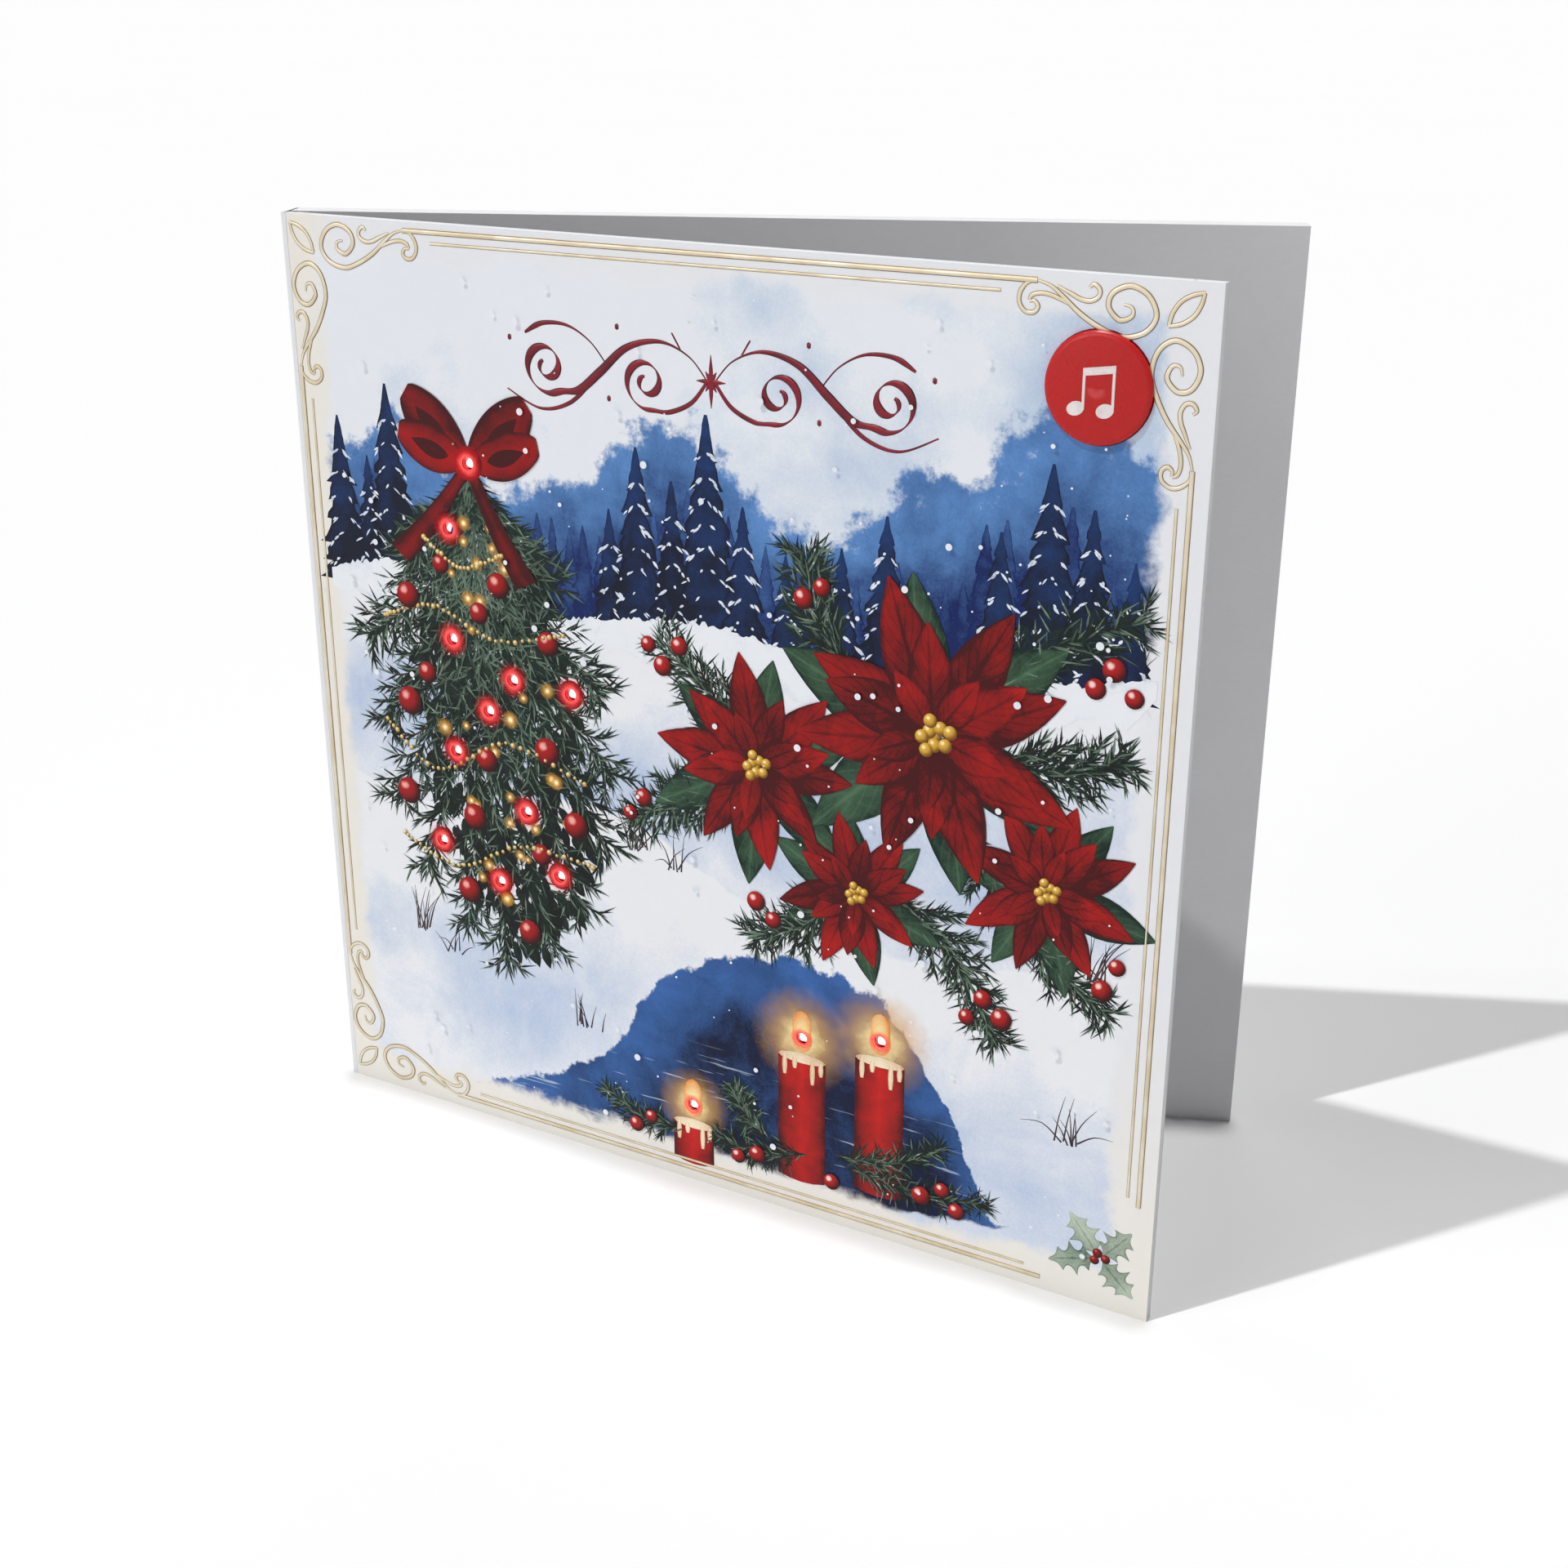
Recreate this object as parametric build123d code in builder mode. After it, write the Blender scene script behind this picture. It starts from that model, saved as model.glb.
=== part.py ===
from build123d import *
from math import cos, radians, sin, tan
import os

# Sound greeting card, standing open on a table.
# Millimetres, +Z up. The front leaf stands in an XZ plane and its picture faces -Y.
# The back leaf stands behind it, turned about the fold at the left.
# The origin is at the middle of the footprint, on the table.

# Card sheets and leaves
sheet = 0.35
leaf_height = 150.0
front_width = 150.0
back_width = 155.0
front_core = 0.9
back_core = 3.8
shut_gap = 0.4
open_angle = 22.5

# Fold and creases
crease_clear = 0.15
crease_radius = 0.6
lining_start = 2.0

# Foam tape that spaces the front leaf's two sheets
strip_width = 4.0
strip_channel = 10.0

# Push button, set in a hole of the front sheet
button_from_edge = 15.4
button_from_top = 14.1
button_radius = 7.3
button_clear = 0.15
button_flange = 1.0
flange_thickness = 0.2
flange_clear = 0.05
button_wall = 0.45
button_bevel = 0.7
button_bevel_rise = 0.35
button_dome_rise = 0.2

# Switch under the button
switch_board_thickness = 0.2
switch_board_radius = 8.2
switch_tail_width = 4.0
switch_tail_reach = 13.0
ring_inner_radius = 8.6
ring_outer_radius = 9.8
snap_dome_radius = 3.5
snap_dome_rise = 0.35
snap_dome_metal = 0.08

# Lamps behind the picture: distance from the fold and height above the table
lamp_places = {
    "a": (33.5, 114.7),
    "b": (29.0, 104.0),
    "c": (28.5, 86.0),
    "d": (40.0, 81.0),
    "e": (51.0, 80.5),
    "f": (35.0, 75.0),
    "g": (28.0, 67.0),
    "h": (41.5, 59.0),
    "i": (24.0, 50.5),
    "j": (35.5, 45.5),
    "k": (47.5, 49.0),
    "l": (72.0, 14.0),
    "m": (92.0, 31.5),
    "n": (105.5, 34.5),
}
lamp_hole_radius = 1.0
lamp_board_width = 4.6
lamp_board_thickness = 0.2
lamp_body_length = 2.0
lamp_body_width = 1.6
lamp_body_thickness = 0.5
lens_radius = 0.7
lens_tip_radius = 0.4
lens_rise = 0.45

# Lamp wiring: which lamps each pair of wires joins
lamp_links = "ab bc cd de df fg gh gi ij jk kl lm mn"
thin_wire = 0.4
wire_sides = 8
strand_offset = 0.45
wire_start = 1.7
wire_bow = 0.06
bend_share = 0.45
tape_length = 6.0
tape_thickness = 0.06
tape_foot = 1.4
tape_least_span = 15.0

# Stops of the switch's wires on their way to the fold: distance from it and below the top
switch_stops = [(98.0, 17.5), (70.0, 15.5), (44.0, 20.0), (23.0, 29.0), (12.5, 44.0)]

# Ribbon over the fold and the board that it lands on in the front leaf
ribbon_width = 8.0
ribbon_thickness = 0.25
ribbon_lap = 2.5
terminal_along = 10.0
terminal_width = 8.0
terminal_height = 11.0
terminal_thickness = 0.2

# Sound module in a pocket of the back leaf's foam pad: where its corner lies,
# and the room round it, between its columns and for its leads
module_from_fold = 28.4
module_from_table = 50.2
module_gap = 1.4
lead_room = 9.2
pocket_clear = 1.5
pocket_corner = 3.0

# Circuit board and what is on it
board_width = 38.0
board_corner = 1.0
board_height = 22.0
board_thickness = 1.0
board_tape = 0.2
blob_left_of_middle = 3.0
blob_radius = 5.0
blob_rise = 1.4
chip_part_length = 2.0
chip_part_width = 1.2
chip_part_height = 0.6
chip_part_pitch = 4.0
chip_part_count = 3
chip_part_from_edge = 8.0
capacitor_radius = 2.0
capacitor_height = 1.8
transistor_width = 3.0
transistor_height = 1.1
transistor_draft = 6.0

# Loudspeaker
speaker_radius = 15.0
gasket_thickness = 0.3
gasket_width = 2.2
rim_thickness = 0.5
basket_radius = 12.4
basket_foot_radius = 8.6
basket_wall = 0.4
basket_shoulder = 0.8
speaker_depth = 3.2
magnet_radius = 7.0
magnet_thickness = 1.1
cone_thickness = 0.15
cone_clear = 0.1
surround_width = 2.0
surround_rise = 0.35
coil_radius = 3.6
cone_depth = 1.4
cap_rise = 0.5
sound_hole_radius = 0.8
sound_hole_ring = 6.0
sound_hole_count = 6

# Battery: button cells in a moulded tray
cell_radius = 5.8
cell_thickness = 3.05
cell_lip = 0.45
cell_lip_inset = 1.0
cell_edge = 0.2
cell_count = 3
cell_clear = 0.2
tray_wall = 0.8
tray_floor = 0.4
tray_wall_height = 2.4
contact_metal = 0.15
contact_width = 4.0
contact_tab = 2.0

# Leads of the module; those of the loudspeaker reach its basket at this angle
lead_wire = 0.6
lead_turn = 142.0
lead_spread = 4.0
lead_row = 1.2

# Depths, counted from the picture face of the front leaf when the card is shut
front_thickness = sheet + front_core + sheet
back_thickness = sheet + back_core + sheet
spine_width = front_thickness + shut_gap + back_thickness
front_pocket = sheet + front_core
back_lining_face = front_thickness + shut_gap
back_pocket_top = back_lining_face + sheet
back_pocket_floor = back_pocket_top + back_core

# The button's place in the front leaf
button_along = front_width - button_from_edge
button_up = leaf_height - button_from_top

# Places in the back leaf: the battery tray with the board over it, then the loudspeaker
cell_pitch = 2 * (cell_radius + cell_clear) + tray_wall
tray_length = cell_count * cell_pitch + tray_wall
tray_width = 2 * (cell_radius + cell_clear + tray_wall)
column_width = max(board_width, tray_length + 2 * contact_tab)
column_height = tray_width + lead_room + board_height
board_along = module_from_fold + column_width / 2
board_up = module_from_table + column_height - board_height / 2
tray_along = board_along
tray_up = module_from_table + tray_width / 2
speaker_along = module_from_fold + column_width + module_gap + speaker_radius
speaker_up = module_from_table + column_height / 2
pocket_left = module_from_fold - pocket_clear
pocket_right = speaker_along + speaker_radius + pocket_clear
pocket_bottom = module_from_table - pocket_clear
pocket_top = module_from_table + column_height + pocket_clear
ribbon_up = board_up

# The button's height over the picture, and the places of its parts in depth
button_proud = button_wall + button_bevel_rise + button_dome_rise
flange_top = sheet + flange_clear
flange_back = flange_top + flange_thickness
switch_board_top = front_pocket - switch_board_thickness
lamp_board_top = front_pocket - lamp_board_thickness
terminal_top = front_pocket - terminal_thickness

# Middle of the footprint: the spine's corner and the front leaf's edge bound X,
# the button and the back leaf's far corner bound Y.
swing = radians(open_angle)
corner_round = crease_radius + sheet / 2
corner_x = corner_round * cos(swing) - (spine_width - corner_round) * sin(swing)
left_reach = corner_x - corner_round
back_reach = back_width * sin(swing) + spine_width * cos(swing)
fold_x = -(front_width + left_reach) / 2
fold_y = -(back_reach - button_proud) / 2


def leaf_plane(turn):
    """Face plane of a leaf that is turned about the fold: along it, then up."""
    turned = radians(turn)
    return Plane(
        origin=(fold_x, fold_y, 0),
        x_dir=(cos(turned), sin(turned), 0),
        z_dir=(sin(turned), -cos(turned), 0),
    )


lamps = list(lamp_places.values())
front = leaf_plane(0)
back = leaf_plane(open_angle)


def at_depth(leaf, depth):
    """The leaf's plane, moved into the leaf by a depth."""
    return leaf.offset(-depth)


def place(leaf, along, up, depth):
    """A point of a leaf, in the card's own frame."""
    return leaf.offset(-depth).from_local_coords(Vector(along, up, 0))


def section(leaf, along, up, depth):
    """Level section plane at a point of a leaf: X along the leaf, Y into it."""
    return Plane(origin=place(leaf, along, up, depth), x_dir=leaf.x_dir, z_dir=(0, 0, 1))


def inward(plane):
    """Axis that runs into the leaf through a section plane's origin."""
    return Axis(plane.origin, plane.y_dir)


def finish(built, name):
    """Label a finished piece and write it."""
    built.part.label = name
    export_step(built.part, f"parts/{name}.step")


def arc_radii(points):
    """Largest round bend that each corner of a wire's route has room for."""
    radii = []
    for before, corner, after in zip(points, points[1:], points[2:]):
        arriving = corner - before
        leaving = after - corner
        half_turn = radians(arriving.get_angle(leaving)) / 2
        run = min(arriving.length, leaving.length)
        radii.append(bend_share * run / tan(half_turn))
    return radii


def beside(points, distance):
    """A flat route moved sideways by a distance, corner by corner."""
    moved = []
    last = len(points) - 1
    for index, (along, up) in enumerate(points):
        before = points[max(index - 1, 0)]
        after = points[min(index + 1, last)]
        way = Vector(after[0] - before[0], after[1] - before[1]).normalized()
        moved.append((along - way.Y * distance, up + way.X * distance))
    return moved


def add_wire(leaf, leaf_route, diameter):
    """Round wire along a route in a leaf, in the part that is being built."""
    points = [place(leaf, *stop) for stop in leaf_route]
    with BuildLine() as route:
        if len(points) > 2:
            FilletPolyline(*points, radius=arc_radii(points))
        else:
            Line(*points)
    with BuildSketch(Plane(origin=route.line @ 0, z_dir=route.line % 0)) as profile:
        RegularPolygon(diameter / 2, wire_sides)
    sweep(sections=profile.sketch, path=route.wires()[0])


def span_route(start, end):
    """Route of a wire between two boards: it leaves each straight and bows a little."""
    way = Vector(end[0] - start[0], end[1] - start[1])
    unit = way.normalized()
    first = (start[0] + unit.X * wire_start, start[1] + unit.Y * wire_start)
    last = (end[0] - unit.X * wire_start, end[1] - unit.Y * wire_start)
    bow = wire_bow * way.length
    middle = (
        (first[0] + last[0]) / 2 - unit.Y * bow,
        (first[1] + last[1]) / 2 + unit.X * bow,
    )
    return [first, middle, last]


def span_middle(start, end):
    """Point halfway along such a wire, where its bend has rounded the corner off."""
    first, corner, last = (Vector(*point) for point in span_route(start, end))
    chord = (first + last) / 2
    return corner + (chord - corner) * bend_share / 2


def add_pair(leaf, flat_route, depth, diameter, apart):
    """Two wires side by side along one route, at one depth."""
    for side in (-1, 1):
        strand = beside(flat_route, side * apart)
        add_wire(leaf, [(along, up, depth) for along, up in strand], diameter)


os.makedirs("parts", exist_ok=True)

# Front leaf: printed sheet with the lamp holes and the button's hole
hinge_clear = sheet + crease_clear
with BuildPart() as front_cover:
    with BuildSketch(at_depth(front, sheet)):
        with Locations((hinge_clear, 0)):
            Rectangle(front_width - hinge_clear, leaf_height, align=(Align.MIN, Align.MIN))
        with Locations(*lamps):
            Circle(lamp_hole_radius, mode=Mode.SUBTRACT)
        with Locations((button_along, button_up)):
            Circle(button_radius + button_clear, mode=Mode.SUBTRACT)
    extrude(amount=sheet)
finish(front_cover, "front_cover")

# Front leaf: foam tape strips round the edge, with a gap where the ribbon comes in
lower_length = ribbon_up - strip_channel / 2
upper_length = leaf_height - ribbon_up - strip_channel / 2
inner_left = hinge_clear + strip_width
inner_length = front_width - strip_width - inner_left
with BuildPart() as front_strips:
    with BuildSketch(at_depth(front, front_pocket)):
        with Locations((hinge_clear, 0)):
            Rectangle(strip_width, lower_length, align=(Align.MIN, Align.MIN))
        with Locations((hinge_clear, leaf_height)):
            Rectangle(strip_width, upper_length, align=(Align.MIN, Align.MAX))
        with Locations((front_width, 0)):
            Rectangle(strip_width, leaf_height, align=(Align.MAX, Align.MIN))
    extrude(amount=front_core)
    with BuildSketch(at_depth(front, front_pocket)):
        with Locations((inner_left + inner_length / 2, 0)):
            Rectangle(inner_length - 2 * crease_clear, strip_width, align=(Align.CENTER, Align.MIN))
        with Locations((inner_left + inner_length / 2, leaf_height)):
            Rectangle(inner_length - 2 * crease_clear, strip_width, align=(Align.CENTER, Align.MAX))
    extrude(amount=front_core)
finish(front_strips, "front_strips")

# Front leaf: plain sheet that closes its inside
with BuildPart() as front_lining:
    with BuildSketch(at_depth(front, front_thickness)):
        with Locations((lining_start, 0)):
            Rectangle(front_width - lining_start, leaf_height, align=(Align.MIN, Align.MIN))
    extrude(amount=sheet)
finish(front_lining, "front_lining")

# Lamps: a small round board, a lamp body and a clear lens in each hole
with BuildPart() as lamp_boards:
    with BuildSketch(at_depth(front, front_pocket)):
        with Locations(*lamps):
            Rectangle(lamp_board_width, lamp_board_width)
    extrude(amount=lamp_board_thickness)
finish(lamp_boards, "lamp_boards")

with BuildPart() as lamp_bodies:
    with BuildSketch(at_depth(front, lamp_board_top)):
        with Locations(*lamps):
            Rectangle(lamp_body_length, lamp_body_width)
    extrude(amount=lamp_body_thickness)
finish(lamp_bodies, "lamp_bodies")

lens_seat = lamp_board_top - lamp_body_thickness
with BuildPart() as lamp_lenses:
    for along, up in lamps:
        lens_section = section(front, along, up, lens_seat)
        with BuildSketch(lens_section):
            with BuildLine():
                Polyline((0, 0), (lens_radius, 0), (lens_tip_radius, -lens_rise), (0, -lens_rise), close=True)
            make_face()
        revolve(axis=inward(lens_section))
finish(lamp_lenses, "lamp_lenses")

# Lamp wiring: a pair of thin wires from board to board, and the feed to one lamp
thin_wire_depth = lamp_board_top - thin_wire / 2
terminal_edge = terminal_along + terminal_width / 2
feed_start = (terminal_edge - wire_start - thin_wire, ribbon_up)
fed_lamp = min(lamps, key=lambda lamp: lamp[0] + abs(lamp[1] - ribbon_up))
spans = [(lamp_places[one], lamp_places[other]) for one, other in lamp_links.split()]
spans.append((feed_start, fed_lamp))
with BuildPart() as lamp_wires:
    for start, end in spans:
        add_pair(front, span_route(start, end), thin_wire_depth, thin_wire, strand_offset)
finish(lamp_wires, "lamp_wires")

# Tape that holds the longer pairs of wires to the lining
tape_rise = front_pocket - thin_wire_depth + thin_wire / 2
tape_flat = strand_offset + thin_wire
tape_middle = tape_thickness / 2
with BuildPart() as wire_tapes:
    for start, end in spans:
        reach = Vector(end[0] - start[0], end[1] - start[1])
        if reach.length > tape_least_span:
            middle = span_middle(start, end)
            centre = place(front, middle.X, middle.Y, front_pocket)
            across = front.from_local_coords(Vector(-reach.Y, reach.X)) - front.origin
            along_wire = front.from_local_coords(reach) - front.origin
            with BuildSketch(Plane(origin=centre, x_dir=across, z_dir=along_wire)):
                with BuildLine():
                    Polyline(
                        (-tape_flat - tape_rise - tape_foot, tape_middle),
                        (-tape_flat - tape_rise, tape_middle),
                        (-tape_flat, tape_rise + tape_middle),
                        (tape_flat, tape_rise + tape_middle),
                        (tape_flat + tape_rise, tape_middle),
                        (tape_flat + tape_rise + tape_foot, tape_middle),
                    )
                trace(line_width=tape_thickness)
            extrude(amount=tape_length / 2, both=True)
finish(wire_tapes, "wire_tapes")

# Board in the front leaf where the ribbon and the wires meet
with BuildPart() as terminal_board:
    with BuildSketch(at_depth(front, front_pocket)):
        with Locations((terminal_along, ribbon_up)):
            Rectangle(terminal_width, terminal_height)
    extrude(amount=terminal_thickness)
finish(terminal_board, "terminal_board")

# Flat ribbon in the front leaf, from that board to the fold
with BuildPart() as front_ribbon:
    with BuildSketch(at_depth(front, terminal_top)):
        ribbon_end = terminal_along - terminal_width / 2 + ribbon_lap
        with Locations((hinge_clear, ribbon_up)):
            Rectangle(ribbon_end - hinge_clear, ribbon_width, align=(Align.MIN, Align.CENTER))
    extrude(amount=ribbon_thickness)
finish(front_ribbon, "front_ribbon")

# Switch: a printed board with a tail for its wires
with BuildPart() as switch_board:
    with BuildSketch(at_depth(front, front_pocket)):
        with Locations((button_along, button_up)):
            Circle(switch_board_radius)
            Rectangle(switch_tail_reach, switch_tail_width, align=(Align.MAX, Align.CENTER))
    extrude(amount=switch_board_thickness)
finish(switch_board, "switch_board")

# Foam ring that centres the button, open at the tail
with BuildPart() as switch_ring:
    with BuildSketch(at_depth(front, front_pocket)):
        with Locations((button_along, button_up)):
            Circle(ring_outer_radius)
            Circle(ring_inner_radius, mode=Mode.SUBTRACT)
            Rectangle(
                ring_outer_radius,
                switch_tail_width + 2 * crease_clear,
                align=(Align.MAX, Align.CENTER),
                mode=Mode.SUBTRACT,
            )
    extrude(amount=front_core)
finish(switch_ring, "switch_ring")

# Metal snap dome under the button
dome_section = section(front, button_along, button_up, switch_board_top)
with BuildPart() as snap_dome:
    with BuildSketch(dome_section):
        with BuildLine():
            outer_top = (0, -snap_dome_rise)
            inner_top = (0, snap_dome_metal - snap_dome_rise)
            inner_foot = (snap_dome_radius - snap_dome_metal, 0)
            upper = TangentArc(outer_top, (snap_dome_radius, 0), tangent=(1, 0))
            rim = Line(upper @ 1, inner_foot)
            lower = TangentArc(inner_top, inner_foot, tangent=(1, 0))
            Line(lower @ 0, upper @ 0)
        make_face()
    revolve(axis=inward(dome_section))
finish(snap_dome, "snap_dome")

# Wires from the switch's tail to the terminal board
tail_end = button_along - switch_tail_reach
lead_end = terminal_along + strand_offset * 3
switch_route = [(tail_end + wire_start, button_up)]
switch_route += [(along, leaf_height - below) for along, below in switch_stops]
switch_route.append((lead_end, ribbon_up + terminal_height / 2 - wire_start))
with BuildPart() as switch_leads:
    add_pair(front, switch_route, thin_wire_depth, thin_wire, strand_offset)
finish(switch_leads, "switch_leads")

# Push button: a domed cap with a bevelled edge, kept in by a flange behind the sheet
button_section = section(front, button_along, button_up, 0)
with BuildPart() as button_cap:
    with BuildSketch(button_section):
        with BuildLine():
            base = Line((0, flange_back), (button_radius + button_flange, flange_back))
            lip = Line(base @ 1, (button_radius + button_flange, flange_top))
            step = Line(lip @ 1, (button_radius, flange_top))
            wall = Line(step @ 1, (button_radius, -button_wall))
            bevel_top = (button_radius - button_bevel, -button_wall - button_bevel_rise)
            bevel = SagittaArc(wall @ 1, bevel_top, button_bevel_rise / 4)
            crown = TangentArc((0, -button_proud), bevel_top, tangent=(1, 0))
            Line(crown @ 0, base @ 0)
        make_face()
    revolve(axis=inward(button_section))
finish(button_cap, "button_cap")

# Back leaf: sheet creased round the spine and down the back, in one piece
with BuildPart() as back_cover:
    with BuildSketch(section(back, 0, 0, 0)):
        with BuildLine():
            FilletPolyline(
                (sheet / 2, 0),
                (sheet / 2, spine_width - sheet / 2),
                (back_width, spine_width - sheet / 2),
                radius=crease_radius,
            )
        trace(line_width=sheet)
    extrude(amount=leaf_height)
finish(back_cover, "back_cover")

# Back leaf: foam pad with a pocket for the module and a channel for the ribbon
pad_start = corner_round
board_left = board_along - board_width / 2
board_right = board_along + board_width / 2
with BuildPart() as back_pad:
    with BuildSketch(at_depth(back, back_pocket_floor)):
        with Locations((pad_start, 0)):
            Rectangle(back_width - pad_start, leaf_height, align=(Align.MIN, Align.MIN))
        with Locations((pocket_left, pocket_bottom)):
            Rectangle(
                pocket_right - pocket_left,
                pocket_top - pocket_bottom,
                align=(Align.MIN, Align.MIN),
                mode=Mode.SUBTRACT,
            )
        with Locations((pad_start, ribbon_up)):
            Rectangle(
                board_along - pad_start,
                strip_channel,
                align=(Align.MIN, Align.CENTER),
                mode=Mode.SUBTRACT,
            )
    extrude(amount=back_core)
    deep_edges = back_pad.edges().filter_by(Axis(back.origin, back.z_dir))
    pocket_edges = deep_edges.filter_by(
        lambda edge: board_left / 2 < back.to_local_coords(edge.center()).X < pocket_right + pocket_clear
    )
    fillet(pocket_edges, pocket_corner)
finish(back_pad, "back_pad")

# Back leaf: plain sheet over the pad, with small holes for the sound
with BuildPart() as back_lining:
    with BuildSketch(at_depth(back, back_pocket_top)):
        with Locations((lining_start, 0)):
            Rectangle(back_width - lining_start, leaf_height, align=(Align.MIN, Align.MIN))
        with Locations((speaker_along, speaker_up)):
            Circle(sound_hole_radius, mode=Mode.SUBTRACT)
            with PolarLocations(sound_hole_ring, sound_hole_count):
                Circle(sound_hole_radius, mode=Mode.SUBTRACT)
    extrude(amount=sheet)
finish(back_lining, "back_lining")

# Circuit board, on double-sided tape
board_back = back_pocket_floor - board_tape
board_top = board_back - board_thickness
with BuildPart() as board_pad:
    with BuildSketch(at_depth(back, back_pocket_floor)):
        with Locations((board_along, board_up)):
            Rectangle(board_width - 2 * strip_width, board_height - strip_width)
    extrude(amount=board_tape)
finish(board_pad, "board_pad")

with BuildPart() as circuit_board:
    with BuildSketch(at_depth(back, board_back)):
        with Locations((board_along, board_up)):
            RectangleRounded(board_width, board_height, board_corner)
    extrude(amount=board_thickness)
finish(circuit_board, "circuit_board")

# Black resin blob over the sound chip
blob_section = section(back, board_along - blob_left_of_middle, board_up, board_top)
with BuildPart() as chip_blob:
    with BuildSketch(blob_section):
        with BuildLine():
            skin = TangentArc((0, -blob_rise), (blob_radius, 0), tangent=(1, 0))
            Polyline(skin @ 1, (0, 0), skin @ 0)
        make_face()
    revolve(axis=inward(blob_section))
finish(chip_blob, "chip_blob")

# Small parts on the board
with BuildPart() as resistors:
    with BuildSketch(at_depth(back, board_top)):
        with Locations((board_right - chip_part_from_edge, board_up)):
            with GridLocations(chip_part_length, chip_part_pitch, 1, chip_part_count):
                Rectangle(chip_part_length, chip_part_width)
    extrude(amount=chip_part_height)
    part_tops = resistors.faces().sort_by(Axis(back.origin, back.z_dir))[-chip_part_count:]
    chamfer(part_tops.edges(), chip_part_height / 6)
finish(resistors, "resistors")

part_row = board_height / 2 - strip_width
with BuildPart() as capacitor:
    with BuildSketch(at_depth(back, board_top)):
        with Locations((board_along - board_width / 4, board_up - part_row)):
            Circle(capacitor_radius)
    extrude(amount=capacitor_height)
    chamfer(capacitor.faces().sort_by(Axis(back.origin, back.z_dir))[-1].edges(), capacitor_radius / 6)
finish(capacitor, "capacitor")

with BuildPart() as transistor:
    with BuildSketch(at_depth(back, board_top)):
        with Locations((board_along + board_width / 12, board_up - part_row)):
            Rectangle(transistor_width, transistor_width / 2)
    extrude(amount=transistor_height, taper=transistor_draft)
finish(transistor, "transistor")

# Loudspeaker: gasket, basket, cone and magnet on one axis
speaker_face = back_pocket_top + gasket_thickness
speaker_section = section(back, speaker_along, speaker_up, speaker_face)
with BuildPart() as speaker_gasket:
    with BuildSketch(at_depth(back, speaker_face)):
        with Locations((speaker_along, speaker_up)):
            Circle(speaker_radius)
            Circle(speaker_radius - gasket_width, mode=Mode.SUBTRACT)
    extrude(amount=gasket_thickness)
finish(speaker_gasket, "speaker_gasket")

with BuildPart() as speaker_basket:
    with BuildSketch(speaker_section):
        with BuildLine():
            Polyline(
                (basket_radius, 0),
                (speaker_radius, 0),
                (speaker_radius, rim_thickness),
                (basket_radius + basket_wall, rim_thickness),
                (basket_radius + basket_wall, basket_shoulder),
                (basket_foot_radius + basket_wall, speaker_depth),
                (0, speaker_depth),
                (0, speaker_depth - basket_wall),
                (basket_foot_radius, speaker_depth - basket_wall),
                (basket_radius, basket_shoulder),
                close=True,
            )
        make_face()
    revolve(axis=inward(speaker_section))
    window_middle = (basket_radius + basket_foot_radius) / 2
    with BuildSketch(at_depth(back, speaker_face + speaker_depth)):
        with Locations((speaker_along, speaker_up)):
            with PolarLocations(window_middle, 4, start_angle=45):
                SlotOverall(window_middle * 0.7, basket_wall * 4, rotation=90)
    extrude(amount=speaker_depth - rim_thickness, mode=Mode.SUBTRACT)
finish(speaker_basket, "speaker_basket")

with BuildPart() as speaker_magnet:
    with BuildSketch(at_depth(back, speaker_face + speaker_depth - basket_wall)):
        with Locations((speaker_along, speaker_up)):
            Circle(magnet_radius)
    extrude(amount=magnet_thickness)
    chamfer(speaker_magnet.faces().sort_by(Axis(back.origin, back.z_dir))[-1].edges(), basket_wall / 2)
finish(speaker_magnet, "speaker_magnet")

cone_section = section(back, speaker_along, speaker_up, speaker_face)
cone_edge = basket_radius - cone_clear
with BuildPart() as speaker_cone:
    with BuildSketch(cone_section):
        with BuildLine():
            skins = []
            for skin in (0, cone_thickness):
                edge_level = rim_thickness + skin
                crest_level = edge_level - surround_rise
                coil_level = cone_depth + skin
                skins.append(
                    Polyline(
                        (cone_edge, edge_level),
                        (cone_edge - surround_width / 3, crest_level),
                        (cone_edge - surround_width * 2 / 3, crest_level),
                        (cone_edge - surround_width, edge_level),
                        (coil_radius, coil_level),
                        (coil_radius / 2, coil_level - cap_rise),
                        (0, coil_level - cap_rise),
                    )
                )
            Line(skins[0] @ 0, skins[1] @ 0)
            Line(skins[0] @ 1, skins[1] @ 1)
        make_face()
    revolve(axis=inward(cone_section))
finish(speaker_cone, "speaker_cone")

# Battery tray with a round bay for each cell
with BuildPart() as battery_tray:
    with BuildSketch(at_depth(back, back_pocket_floor)):
        with Locations((tray_along, tray_up)):
            RectangleRounded(tray_length, tray_width, tray_wall)
    extrude(amount=tray_floor + tray_wall_height)
    with BuildSketch(at_depth(back, back_pocket_floor - tray_floor)):
        with Locations((tray_along, tray_up)):
            with GridLocations(cell_pitch, cell_pitch, cell_count, 1):
                Circle(cell_radius + cell_clear)
            Rectangle(tray_length, contact_width + 2 * cell_clear)
    extrude(amount=tray_wall_height, mode=Mode.SUBTRACT)
finish(battery_tray, "battery_tray")

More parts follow.
